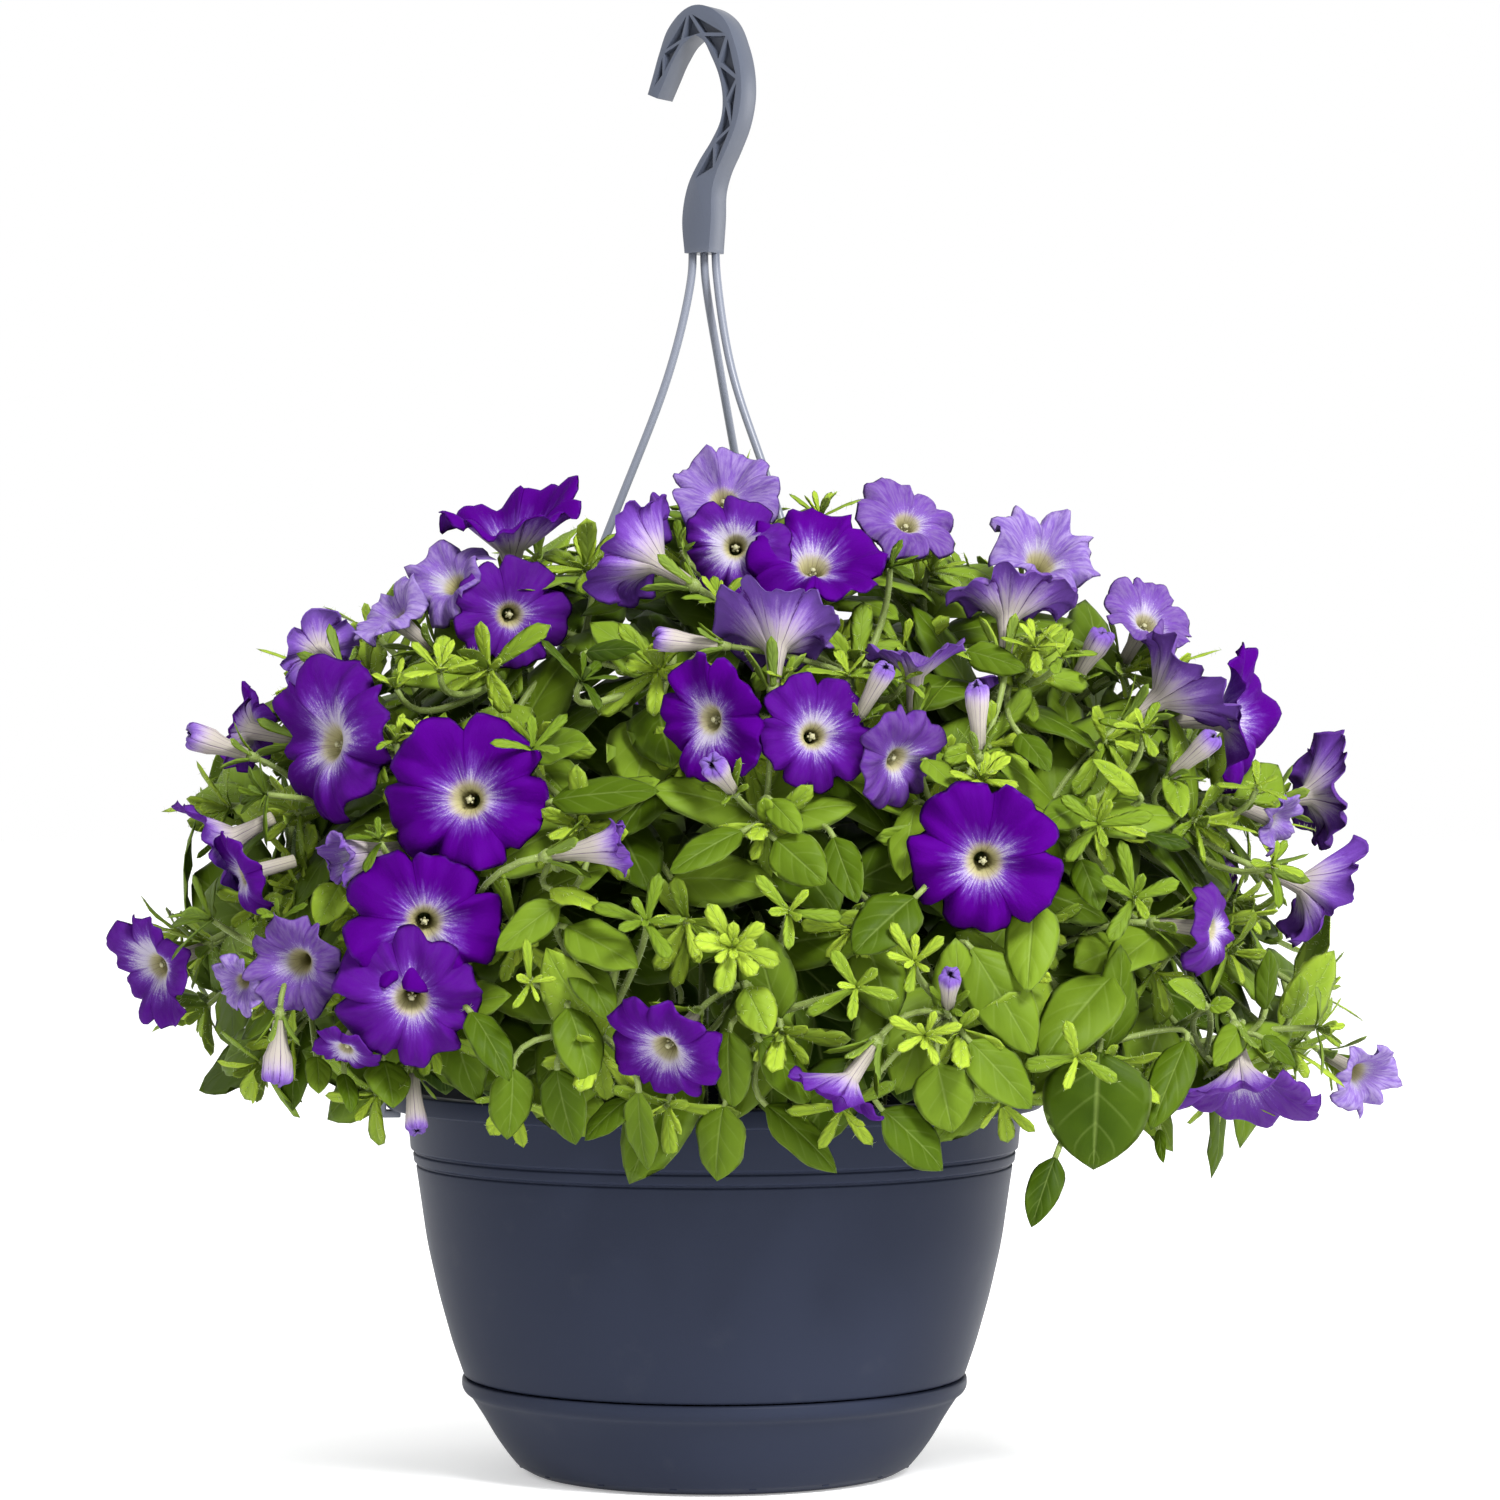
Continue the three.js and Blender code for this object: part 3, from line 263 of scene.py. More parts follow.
# the stage in metres: the middle of the view, the ground, then each lamp's place, the height that it
# faces, its width and its power
VIEW_CENTRE = (0.0146, 0.2955)
GROUND = {"radius": 14, "drop": 0.0004}
LAMPS = [
    ("key", (0.95, -1.7, 1.95), 0.25, 0.8, 132), ("fill", (1.5, -1.5, 0.9), 0.25, 1.0, 14),
    ("edge_left", (-1.7, 0.2, 1.0), 0.25, 0.8, 5), ("edge_right", (1.6, 0.9, 0.6), 0.2, 0.7, 5),
]

# petals that gravity folds down over the face, as a share of the rim's radius
FOLDS = {40: 0.42, 1: 0.4, 38: 0.3, 14: 0.3, 39: 0.35, 8: 0.3}


# ---- parts of the plant's rule ----

def draws(seed):
    """Even draws from 0 to 1, the same for the same seed."""
    state = (seed * 2654435761 + 12345) & 0xFFFFFFFF
    while True:
        state = (state * 1664525 + 1013904223) & 0xFFFFFFFF
        yield state / 4294967296


def drawer(seed):
    return draws(seed).__next__


def polar(azimuth, distance, height):
    turn = math.radians(azimuth)
    return Vector((distance * math.cos(turn), distance * math.sin(turn), height))


def facing(azimuth, elevation):
    """The way that something faces: 0, 0 is to the front."""
    a, e = math.radians(azimuth), math.radians(elevation)
    return Vector((math.sin(a) * math.cos(e), -math.cos(a) * math.cos(e), math.sin(e)))


def square_to(ahead, face):
    """The part of a face's direction that stands square on the way ahead."""
    return (face - face.dot(ahead) * ahead).normalized()


def mound_point(direction, fill=MOUND_FILL):
    a, e = map(math.radians, direction)
    x, y, z = MOUND_REACH
    return MOUND_CENTRE + fill * Vector(
        (x * math.cos(e) * math.cos(a), y * math.cos(e) * math.sin(a), z * math.sin(e)))


def outward(point):
    gap = point - MOUND_CENTRE
    return Vector([g / reach ** 2 for g, reach in zip(gap, MOUND_REACH)]).normalized()


def reach_of(point):
    """How far out in the mound a point lies: 0 at its centre, 1 at its skin."""
    return Vector([g / r for g, r in zip(point - MOUND_CENTRE, MOUND_REACH)]).length


class Shoot:
    """One leafy shoot: a cubic way from its start to its tip, made of straight steps."""

    def __init__(self, stem, index, start, heading, direction, gauge, fill=MOUND_FILL):
        tip = mound_point(direction, fill)
        span = (tip - start).length
        arrival = (outward(tip) - DROOP * math.cos(math.radians(direction[1])) * UP).normalized()
        self.ways = (start, start + gauge["lift"] * span * heading, tip - ARRIVAL * span * arrival, tip)
        self.stem, self.index, self.tip = stem, index, tip
        self.steps, self.radius = gauge["steps"], gauge["radius"]
        a, b, c, d = self.ways
        self.span = ((b - a).length + (c - b).length + (d - c).length + (d - a).length) / 2

    def point(self, t):
        a, b, c, d = self.ways
        s = 1 - t
        return s ** 3 * a + 3 * s * s * t * b + 3 * s * t * t * c + t ** 3 * d

    def tangent(self, t):
        return (self.point(min(t + 1e-3, 1)) - self.point(max(t - 1e-3, 0))).normalized()

    def chord_point(self, t):
        station = min(int(t * self.steps), self.steps - 1)
        low, high = self.point(station / self.steps), self.point((station + 1) / self.steps)
        return low.lerp(high, t * self.steps - station)


def leaf_at(shoot, distance, order, turn_try, length=50, width=29):
    """Where a shoot's leaf stands, how it lies and how large it is."""
    draw = drawer(shoot.stem * 1000 + shoot.index * 100 + order + SEEDS["leaf"])
    t = 1 - distance / shoot.span
    foot, tangent = shoot.chord_point(t), shoot.tangent(t)
    out = outward(foot)
    east = UP.cross(out).normalized()
    north = out.cross(east)
    turn = math.radians(draw() * 50 + shoot.index * 70 + order * GOLDEN_TURN + LEAF_TURNS[turn_try])
    ahead = (math.cos(turn) * east + math.sin(turn) * north + 0.3 * tangent
             + (0.1 + 0.35 * draw()) * out).normalized()
    upper = square_to(ahead, 0.85 * out + 0.4 * UP + 0.5 * (draw() - 0.5) * east)
    size = min(1, 0.68 + distance / 110) * (0.88 + 0.3 * draw())
    return {"foot": foot, "ahead": ahead, "upper": upper, "length": length * size,
            "width": width * size, "droop": 0.12 + 0.2 * draw(),
            "wave": [1.6 * (draw() - 0.5) for _ in range(4)]}


def tip_leaf_at(shoot):
    draw = drawer(shoot.stem * 1000 + shoot.index * 100 + SEEDS["tip_leaf"])
    foot, tangent = shoot.chord_point(0.985), shoot.tangent(0.985)
    out = outward(foot)
    east = UP.cross(out).normalized()
    ahead = (tangent + 0.5 * (draw() - 0.5) * east + 0.25 * UP).normalized()
    upper = square_to(ahead, out + 0.6 * UP)
    return {"foot": foot, "ahead": ahead, "upper": upper, "length": 27, "width": 8.5,
            "droop": 0.15, "wave": [0, 0, 0, 0]}


def leaf_tip(leaf):
    return (leaf["foot"] + leaf["length"] * leaf["ahead"]
            - leaf["droop"] * leaf["length"] * leaf["upper"])


class Bloom:
    """One corolla: its place, its three directions and its form."""

    def __init__(self, index, x, y, z, radius, azimuth, elevation, form, fade, fold=0.1):
        draw = drawer(index + 1)
        ahead = facing(azimuth, elevation)
        level = polar(azimuth, 1, 0)
        rise = ahead.cross(level)
        roll = draw() * 2 * math.pi
        self.u = math.cos(roll) * level + math.sin(roll) * rise
        self.v = -math.sin(roll) * level + math.cos(roll) * rise
        self.w = ahead
        self.index, self.radius, self.form, self.fade, self.fold = index, radius, form, fade, fold
        self.centre = Vector((x, y, z))
        self.tube = {"half": 2.6 * radius, "bud": 24}.get(form, 14 + 0.62 * radius)
        self.foot = self.centre - self.tube * ahead

    def side(self, turn):
        """The way out to the side at a turn about the tube."""
        return math.cos(turn) * self.u + math.sin(turn) * self.v


# ---- lattices of points ----

def lattice(rows, columns, closed=False, flip=False):
    """Quads of a lattice of points, with the map place of each quad's corners."""
    across = columns if closed else columns - 1
    r, c = (grid.ravel() for grid in np.mgrid[0:rows - 1, 0:across])
    corners = [(r, c), (r, c + 1), (r + 1, c + 1), (r + 1, c)]
    if flip:
        corners.reverse()
    quads = np.stack([a * columns + b % columns for a, b in corners], axis=1)
    places = np.stack([np.stack([b / across, a / (rows - 1)], axis=1) for a, b in corners], axis=1)
    return quads, places


def smooth_through(knots, at):
    """Smooth rise and fall through (place, height) knots."""
    x, y = np.array(knots, float).T
    slope = np.gradient(y, x)
    i = np.clip(np.searchsorted(x, at) - 1, 0, len(x) - 2)
    step = x[i + 1] - x[i]
    t = (at - x[i]) / step
    return ((2 * t**3 - 3 * t**2 + 1) * y[i] + (t**3 - 2 * t**2 + t) * step * slope[i]
            + (3 * t**2 - 2 * t**3) * y[i + 1] + (t**3 - t**2) * step * slope[i + 1])


OVATE = [(0, 0.0), (0.03, 0.08), (0.07, 0.22), (0.13, 0.56), (0.21, 0.84), (0.32, 0.98), (0.45, 1.0),
         (0.6, 0.93), (0.74, 0.76), (0.86, 0.5), (0.94, 0.24), (0.98, 0.09), (1, 0.0)]
SPATULATE = [(0, 0.0), (0.04, 0.34), (0.2, 0.5), (0.45, 0.78), (0.66, 1.0), (0.83, 0.95),
             (0.94, 0.62), (1, 0.0)]


def blade_lattices(leaf, outline, rows, columns, fold=0.0):
    """Upper and lower faces of a blade: its points, quads, places on the leaf and underside marks."""
    foot, ahead, upper = (np.array(leaf[name]) for name in ("foot", "ahead", "upper"))
    side = np.cross(ahead, upper)
    length, width, droop, wave = (leaf[name] for name in ("length", "width", "droop", "wave"))
    s = (1 - np.cos(np.linspace(0, 1, rows) * math.pi)) / 2 * 0.4 + np.linspace(0, 1, rows) * 0.6
    a = np.linspace(-1, 1, columns)
    s, a = s[:, None], a[None, :]
    half = np.clip(smooth_through(outline, s), 0, 1.03) * width / 2
    body = np.clip(s / 0.14, 0, 1) * np.clip((1 - s) / 0.2, 0, 1)
    scale = min(1.0, width / 25)
    near = np.clip(1 - np.abs(s - 0.3) / 0.38, 0, 1)
    far = np.clip(1 - np.abs(s - 0.68) / 0.38, 0, 1)
    sway = np.where(a < 0, near * wave[0] + far * wave[2], near * wave[1] + far * wave[3])
    ripple = np.sin(s * 15 + wave[0] * 9 + np.sign(a) * (1.1 + wave[1])) * 0.9
    height = (2.2 * scale * (1 - a**2) - 1.1 * scale * np.exp(-(a / 0.16) ** 2)) * body
    height = height + (2.6 * sway + ripple * scale) * a**2 * body
    height = height + fold * half * np.abs(a)
    height = height - droop * length * s**2
    lower = height - BLADE_THICK * (1 - a**8) * np.clip(s / 0.03, 0, 1) * np.clip((1 - s) / 0.03, 0, 1)
    share = s * (1 + 0.03) - 0.03
    points = []
    for level in (height, lower):
        points.append(foot + (share * length * np.ones_like(a))[..., None] * ahead
                      + (half * a)[..., None] * side + level[..., None] * upper)
    quads, places = lattice(rows, columns)
    back, back_places = lattice(rows, columns, flip=True)
    count = rows * columns
    return (np.concatenate([p.reshape(-1, 3) for p in points]),
            np.concatenate([quads, back + count]),
            np.concatenate([places, back_places]), np.repeat([0.0, 1.0], count))


def tube_lattice(centres, radii, sides=8):
    """A round closed tube through centres, its ends drawn to points."""
    centres = [Vector(c) for c in centres]
    rings, across = [], None
    centres = [centres[0], *centres, centres[-1]]
    radii = [0, *radii, 0]
    for i, (centre, radius) in enumerate(zip(centres, radii)):
        low, high = centres[max(i - 1, 0)], centres[min(i + 1, len(centres) - 1)]
        if i <= 1:
            low, high = centres[0], centres[2]
        if i >= len(centres) - 2:
            low, high = centres[-3], centres[-1]
        ahead = (high - low).normalized()
        across = square_to(ahead, across or ahead.orthogonal().normalized())
        rise = ahead.cross(across)
        for j in range(sides):
            turn = 2 * math.pi * j / sides
            rings.append(centre + radius * (math.cos(turn) * across + math.sin(turn) * rise))
    quads, places = lattice(len(centres), sides, closed=True)
    return np.array(rings), quads, places, np.zeros(len(rings))


class Gathering:
    """Points, quads, map places and per-point traits gathered for one piece."""

    def __init__(self, *traits):
        self.points, self.quads, self.places, self.slots = [], [], [], []
        self.traits = {name: [] for name in traits}
        self.thorns, self.thorn_slot = [], 0
        self.count = 0

    def add(self, lattices, slot=0, **traits):
        points, quads, places = lattices[:3]
        self.points.append(points)
        self.quads.append(quads + self.count)
        self.places.append(places)
        self.slots.append(np.full(len(quads), slot))
        for name, values in self.traits.items():
            values.append(np.broadcast_to(np.asarray(traits.get(name, 0.0), float), len(points)))
        self.count += len(points)

    def grow_hairs(self, seed, slot):
        """Short closed spikes, thick on stems and cups and thinner on young blades."""
        draw = np.random.default_rng(seed)
        quads, slots = np.concatenate(self.quads), np.concatenate(self.slots)
        corners = np.concatenate(self.points)[quads]
        tone = np.concatenate(self.traits["tone"])[quads[:, 0]]
        normal = np.cross(corners[:, 2] - corners[:, 0], corners[:, 3] - corners[:, 1])
        size = np.linalg.norm(normal, axis=1)
        dense = np.where(slots == 1, HAIRS["stem"], np.where(tone > HAIRS["pale"], HAIRS["young"], 0))
        rows = np.repeat(np.arange(len(quads)), draw.poisson(size / 2 * dense))
        s, t = draw.random((2, len(rows), 1))
        a, b, c, d = corners[rows].transpose(1, 0, 2)
        foot = (a + (b - a) * s) * (1 - t) + (d + (c - d) * s) * t
        out = normal[rows] / size[rows, None] + draw.normal(0, HAIRS["lean"], (len(rows), 3))
        out /= np.linalg.norm(out, axis=1, keepdims=True)
        side = np.cross(out, draw.normal(0, 1, out.shape))
        side /= np.linalg.norm(side, axis=1, keepdims=True)
        other = np.cross(out, side)
        base = foot - HAIRS["sunk"] * out
        ring = [base + HAIRS["thick"] * (math.cos(turn) * side + math.sin(turn) * other)
                for turn in (0, 2 * math.pi / 3, 4 * math.pi / 3)]
        tip = foot + draw.uniform(*HAIRS["long"], (len(rows), 1)) * out
        first = self.count + 4 * np.arange(len(rows))[:, None, None]
        spike = np.array([(0, 2, 1), (0, 1, 3), (1, 2, 3), (2, 0, 3)])
        self.thorns = (first + spike).reshape(-1, 3).tolist()
        self.thorn_slot = slot
        self.points.append(np.stack([*ring, tip], 1).reshape(-1, 3))
        for values in self.traits.values():
            values.append(np.zeros(4 * len(rows)))
        self.count += 4 * len(rows)

    def piece(self, name, *materials):
        """The gathered lattices as one object, its touching points merged."""
        mesh = bpy.data.meshes.new(name)
        points = np.concatenate(self.points) * MM
        mesh.from_pydata(points.tolist(), [], np.concatenate(self.quads).tolist() + self.thorns)
        mesh.uv_layers.new(name="Leafmap").data.foreach_set(
            "uv", np.append(np.concatenate(self.places), np.zeros(6 * len(self.thorns))).astype(
                np.float32))
        mesh.polygons.foreach_set("material_index", np.append(
            np.concatenate(self.slots), np.full(len(self.thorns), self.thorn_slot)).astype(np.int32))
        for trait, values in self.traits.items():
            mesh.attributes.new(trait, "FLOAT", "POINT").data.foreach_set(
                "value", np.concatenate(values).astype(np.float32))
        for material in materials:
            mesh.materials.append(material)
        cleaned = bmesh.new()
        cleaned.from_mesh(mesh)
        bmesh.ops.remove_doubles(cleaned, verts=cleaned.verts, dist=2e-6)
        bmesh.ops.dissolve_degenerate(cleaned, edges=cleaned.edges, dist=1e-7)
        cleaned.to_mesh(mesh)
        cleaned.free()
        mesh.shade_smooth()
        return linked(name, mesh)


def linked(name, data):
    """A new object in the scene."""
    made = bpy.data.objects.new(name, data)
    bpy.context.collection.objects.link(made)
    return made


def finished(piece, slot, *nodes):
    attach(piece, "root")
    if nodes:
        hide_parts(*nodes)
    return piece


# ---- finishes ----

class Amount:
    """A number that varies over a surface, with the sums done on it."""

    def __init__(self, finish, socket):
        self.finish, self.socket = finish, socket

    def sum(self, operation, *values):
        return self.finish.node("ShaderNodeMath", {"operation": operation}, dict(enumerate(values)))

    def __add__(self, other):
        return self.sum("ADD", self, other)

    def __sub__(self, other):
        return self.sum("SUBTRACT", self, other)

    def __rsub__(self, other):
        return self.sum("SUBTRACT", other, self)

    def __mul__(self, other):
        return self.sum("MULTIPLY", self, other)

    __radd__, __rmul__ = __add__, __mul__

    def wave(self):
        return self.sum("SINE", self)

    def swing(self):
        return self.sum("COSINE", self)

    def size(self):
        return self.sum("ABSOLUTE", self)

    def part(self):
        return self.sum("FRACT", self)

    def between(self, low, high):
        """0 at low and 1 at high, smooth between."""
        return self.finish.node("ShaderNodeMapRange", {"interpolation_type": "SMOOTHSTEP"},
                                {0: self, 1: low, 2: high})


class Finish:
    """A material under construction."""

    def __init__(self, name):
        self.material = bpy.data.materials.new(name)
        self.material.use_nodes = True
        self.tree = self.material.node_tree
        self.tree.nodes.clear()

    def node(self, kind, settings=None, sockets=None, output=0):
        made = self.tree.nodes.new(kind)
        for name, value in (settings or {}).items():
            setattr(made, name, value)
        for name, value in (sockets or {}).items():
            if isinstance(value, Amount):
                self.tree.links.new(value.socket, made.inputs[name])
            else:
                made.inputs[name].default_value = value
        return Amount(self, made.outputs[output])

    def trait(self, name):
        return self.node("ShaderNodeAttribute", {"attribute_name": name}, output="Fac")

    def place(self):
        spot = self.node("ShaderNodeUVMap", {"uv_map": "Leafmap"})
        return [self.node("ShaderNodeSeparateXYZ", None, {0: spot}, i) for i in (0, 1)]

    def spot(self, x, y, z):
        return self.node("ShaderNodeCombineXYZ", None, {0: x, 1: y, 2: z})

    def noise(self, scale, detail=3.0, at=None, roughness=0.55):
        at = at or self.node("ShaderNodeTexCoord", output="Object")
        return self.node("ShaderNodeTexNoise", None,
                         {"Vector": at, "Scale": scale, "Detail": detail, "Roughness": roughness})

    def mix(self, share, low, high):
        """Colour low where share is 0 and high where it is 1."""
        low, high = (c if isinstance(c, Amount) else (*c[:3], 1) for c in (low, high))
        return self.node("ShaderNodeMix", {"data_type": "RGBA"}, {0: share, 6: low, 7: high}, 2)

    def bump(self, height, strength, distance):
        return self.node("ShaderNodeBump", None,
                         {"Height": height, "Strength": strength, "Distance": distance})

    def surface(self, **sockets):
        return self.node("ShaderNodeBsdfPrincipled", None, {
            name.replace("_", " "): (*value, 1) if isinstance(value, tuple) else value
            for name, value in sockets.items()})

    def lit_through(self, skin, colour, share):
        """The finished material: its skin, with a share of the light let through from behind."""
        glow = self.node("ShaderNodeBsdfTranslucent", None, {"Color": (*colour, 1)})
        return self.done(self.node("ShaderNodeMixShader", None, {0: share, 1: skin, 2: glow}))

    def done(self, shader):
        end = self.tree.nodes.new("ShaderNodeOutputMaterial")
        self.tree.links.new(shader.socket, end.inputs[0])
        return self.material


def leaf_finish(settings):
    """Satin green, paler along the midrib and the hairy margin."""
    f = Finish("petunia_leaf")
    across, along = f.place()
    edge = (across * 2 - 1).size()
    tone, under = f.trait("tone"), f.trait("under")
    mottle, cloud = f.noise(70, 4), f.noise(22, 2)
    # painted shade and painted light: the tone is darker deep in the mound, so inner leaves take the
    # dark green and outer ones the bright green; mottle and cloud vary it at random
    shade = tone + mottle * 0.14 + cloud * 0.26 + edge * 0.1 - 0.25
    green = f.mix(shade.between(0.0, 0.4), settings.dark, settings.mid)
    green = f.mix(shade.between(0.35, 0.75), green, settings.bright)
    green = f.mix(shade.between(0.75, 1.1), green, settings.young)
    midrib = 1 - edge.between(0.0, 0.075)
    ribs = ((along - 0.3 * edge) * 5.0).part()
    blister = (ribs - 0.5).size()
    vein = blister.between(0.4, 0.5) * (1 - edge.between(0.5, 0.95))
    pale = (0.24, 0.32, 0.08)
    green = f.mix(midrib * 0.24, green, pale)
    green = f.mix(vein * 0.1, green, pale)
    green = f.mix(edge.between(0.94, 1.0) * 0.4, green, (0.24, 0.3, 0.09))
    green = f.mix(under * 0.45, green, (0.1, 0.145, 0.04))
    relief = mottle * 0.7 + cloud * 0.6 - midrib * 0.6 - blister.between(0.1, 0.5) * 0.3
    skin = f.surface(
        Base_Color=green, Roughness=mottle * 0.2 + 0.37, Normal=f.bump(relief, 0.5, 0.001),
        Specular_IOR_Level=0.05)
    return f.lit_through(skin, (0.14, 0.22, 0.004), 0.2)


def stem_finish(settings):
    f = Finish("hairy_stem")
    around, along = f.place()
    turn = around * 2 * math.pi
    streak = f.noise(6, 3, f.spot(turn.wave() * 0.6, turn.swing() * 0.6, along * 3))
    speck = f.noise(1500, 2)
    green = f.mix(streak.between(0.3, 0.7), settings.stem, (0.15, 0.2, 0.05))
    green = f.mix(speck.between(0.56, 0.72) * 0.4, green, (0.26, 0.3, 0.16))
    return f.done(f.surface(
        Base_Color=green, Roughness=0.5, Normal=f.bump(speck + streak * 0.5, 0.4, 0.0004),
        Specular_IOR_Level=0.2, Sheen_Weight=0.12, Sheen_Roughness=0.35, Sheen_Tint=(0.9, 1.0, 0.7)))


def hair_finish():
    """Fine glassy hairs, paler than what they grow on."""
    f = Finish("pale_hair")
    shade = f.noise(200, 2)
    skin = f.surface(Base_Color=f.mix(shade, (0.34, 0.42, 0.16), (0.6, 0.66, 0.4)), Roughness=0.5,
                     Specular_IOR_Level=0.2)
    return f.lit_through(skin, (0.6, 0.68, 0.36), 0.5)


def petal_finish(settings):
    """Royal violet round a soft pale star, and a veined back that runs from cream to violet."""
    f = Finish("petunia_petal")
    around, along = f.place()
    back, fade, seed = f.trait("under"), f.trait("fade"), f.trait("seed")
    turn = around * 2 * math.pi
    x, y = turn.swing(), turn.wave()
    out = (along - FLARE_FROM) * (1 / (1 - FLARE_FROM))
    side = f.noise(0.8, 1, f.spot(x + seed * 7, y, seed * 3), 0.4)
    rays = f.noise(5.0, 4, f.spot(x * 2.4 + seed * 7, y * 2.4, out * 0.6 + seed), 0.6)
    fibre = f.noise(30, 3, f.spot(x * 2.2, y * 2.2 + seed * 5, out * 1.1), 0.62)
    cloud = f.noise(45, 3)
    star = f.noise(1.0, 0, f.spot(seed * 5, seed * 3, seed))
    veins = (turn * 2.5 + (rays - 0.5) * (out * 0.9 + 0.25)).wave().size()
    branch = (turn * 7.5 + (rays - 0.5) * (out * 3 + 0.6)).wave().size()
    # face
    reach = (out + (side - 0.5) * 0.65 + (rays - 0.5) * 0.75 + (fibre - 0.5) * 0.25
             + (star - 0.5) * 0.6 + 0.03)
    face = f.mix(cloud.between(0.35, 0.7) * 0.45, settings.violet, settings.dusk)
    face = f.mix(out.between(0.9, 1.02) * 0.4, face, settings.dusk)
    face = f.mix(fade, face, f.mix(rays.between(0.3, 0.7), (0.13, 0.075, 0.28), (0.26, 0.2, 0.38)))
    face = f.mix((1 - reach.between(0.1, 0.62)) * 0.7, face, settings.lilac)
    face = f.mix((1 - (reach + (fibre - 0.5) * 0.4).between(-0.05, 0.36)) * 0.9, face, settings.star)
    face = f.mix((1 - branch.between(0.0, 0.1)) * out.between(0.0, 0.3) * 0.22, face, settings.dusk)
    spoke = (turn * 2.5).wave().size()
    groove = (1 - spoke.between(0.0, 0.05)) * out.between(0.0, 0.2)
    face = f.mix(groove * 0.3, face, settings.dusk)
    throat = 1 - (out + (fibre - 0.5) * 0.2).between(-0.06, 0.13)
    face = f.mix(throat * 0.85, face, settings.throat)
    line = 1 - (turn * 7.5 + rays * 2.2).wave().size().between(0.05, 0.3)
    face = f.mix(line * (1 - out.between(-0.05, 0.15)) * 0.45, face, (0.1, 0.07, 0.03))
    face = f.mix((1 - along.between(0.16, 0.35)) * 0.7, face, (0.36, 0.32, 0.1))
    # back
    run = out + (rays - 0.5) * 0.7 + (fibre - 0.5) * 0.35
    outer = f.mix(fade * 0.8, settings.mauve, (0.17, 0.115, 0.34))
    outer = f.mix((1 - run.between(0.4, 1.0)) * 0.8, outer, settings.lilac)
    outer = f.mix((1 - run.between(0.1, 0.7)) * 0.85, outer, (0.34, 0.27, 0.42))
    outer = f.mix(1 - (out + (rays - 0.5) * 0.4).between(-0.05, 0.45), outer, settings.tube)
    vein = (1 - veins.between(0.0, 0.11)) * (1 - out.between(0.85, 1.1))
    twig = (1 - branch.between(0.0, 0.22)) * (1 - out.between(0.3, 1.0)) * 0.75
    outer = f.mix((vein + twig).between(0.0, 1.0) * 0.8, outer, (0.04, 0.008, 0.09))
    outer = f.mix((1 - along.between(0.0, 0.3)) * 0.4, outer, (0.22, 0.22, 0.1))
    colour = f.mix(back, face, outer)
    relief = rays * 0.7 + fibre * 0.35 - groove * 0.8 - (1 - veins.between(0.02, 0.2)) * back * 0.6
    skin = f.surface(
        Base_Color=colour, Roughness=fibre * 0.2 + 0.5, Normal=f.bump(relief, 0.5, 0.0012),
        Specular_IOR_Level=0.015)
    return f.lit_through(skin, (0.12, 0.0, 0.3), 0.14)


def pollen_finish():
    f = Finish("stamen_and_stigma")
    grain = f.noise(2500, 2)
    body = f.mix(grain.between(0.35, 0.65), (0.2, 0.19, 0.09), (0.3, 0.29, 0.18))
    return f.done(f.surface(Base_Color=body, Roughness=0.6, Normal=f.bump(grain, 0.6, 0.0003)))


def moulded_finish(name, colour, pale, gloss, mirror, highlit=None):
    """Satin moulded plastic with faint flow marks and fine grain; the strands below the hook are
    painted a paler grey as their highlight.
    """
    f = Finish(name)
    flow, grain, dust = f.noise(9, 3), f.noise(1800, 2), f.noise(48, 5)
    body = f.mix(flow.between(0.3, 0.7) * 0.5, colour, pale)
    body = f.mix(dust.between(0.58, 0.8) * 0.06, body, (0.1, 0.1, 0.1))
    # painted highlight: the strands below the hook take a paler grey than the hook
    if highlit:
        height = f.node("ShaderNodeSeparateXYZ", None,
                        {0: f.node("ShaderNodeTexCoord", output="Object")}, 2)
        body = f.mix(1 - height.between(*STRAND_TOPS), body, highlit)
    return f.done(f.surface(
        Base_Color=body, Roughness=flow * 0.1 + dust * 0.05 + gloss, Specular_IOR_Level=mirror,
        Normal=f.bump(grain * 0.6 + flow * 0.5, 0.18, 0.0003)))


def compost_finish(settings):
    f = Finish("potting_compost")
    crumb, fibre = f.noise(420, 5), f.noise(70, 4)
    body = f.mix(crumb.between(0.35, 0.68), settings.damp, settings.dry)
    body = f.mix(fibre.between(0.55, 0.75) * 0.5, body, (0.09, 0.055, 0.03))
    return f.done(f.surface(Base_Color=body, Roughness=0.95,
                            Normal=f.bump(crumb + fibre * 0.6, 0.9, 0.003)))


def ground_finish(settings):
    f = Finish("plain_ground")
    faint = f.noise(3, 2)
    tone = settings.ground
    return f.done(f.surface(Base_Color=f.mix(faint, (tone,) * 3, (tone * 0.99,) * 3), Roughness=0.9,
                            Specular_IOR_Level=0.1, Emission_Color=(1, 1, 1),
                            Emission_Strength=settings.glow))


# ---- blooms ----

def ring_through(values, at):
    """Smooth closed way through even values, read at turns from 0 to 1."""
    values = np.array(values)
    place = at * len(values)
    i = np.floor(place).astype(int)
    t = place - i
    a, b, c, d = (values[(i + k) % len(values)] for k in (-1, 0, 1, 2))
    return 0.5 * (2 * b + (c - a) * t + (2 * a - 5 * b + 4 * c - d) * t**2
                  + (3 * b - a - 3 * c + d) * t**3)


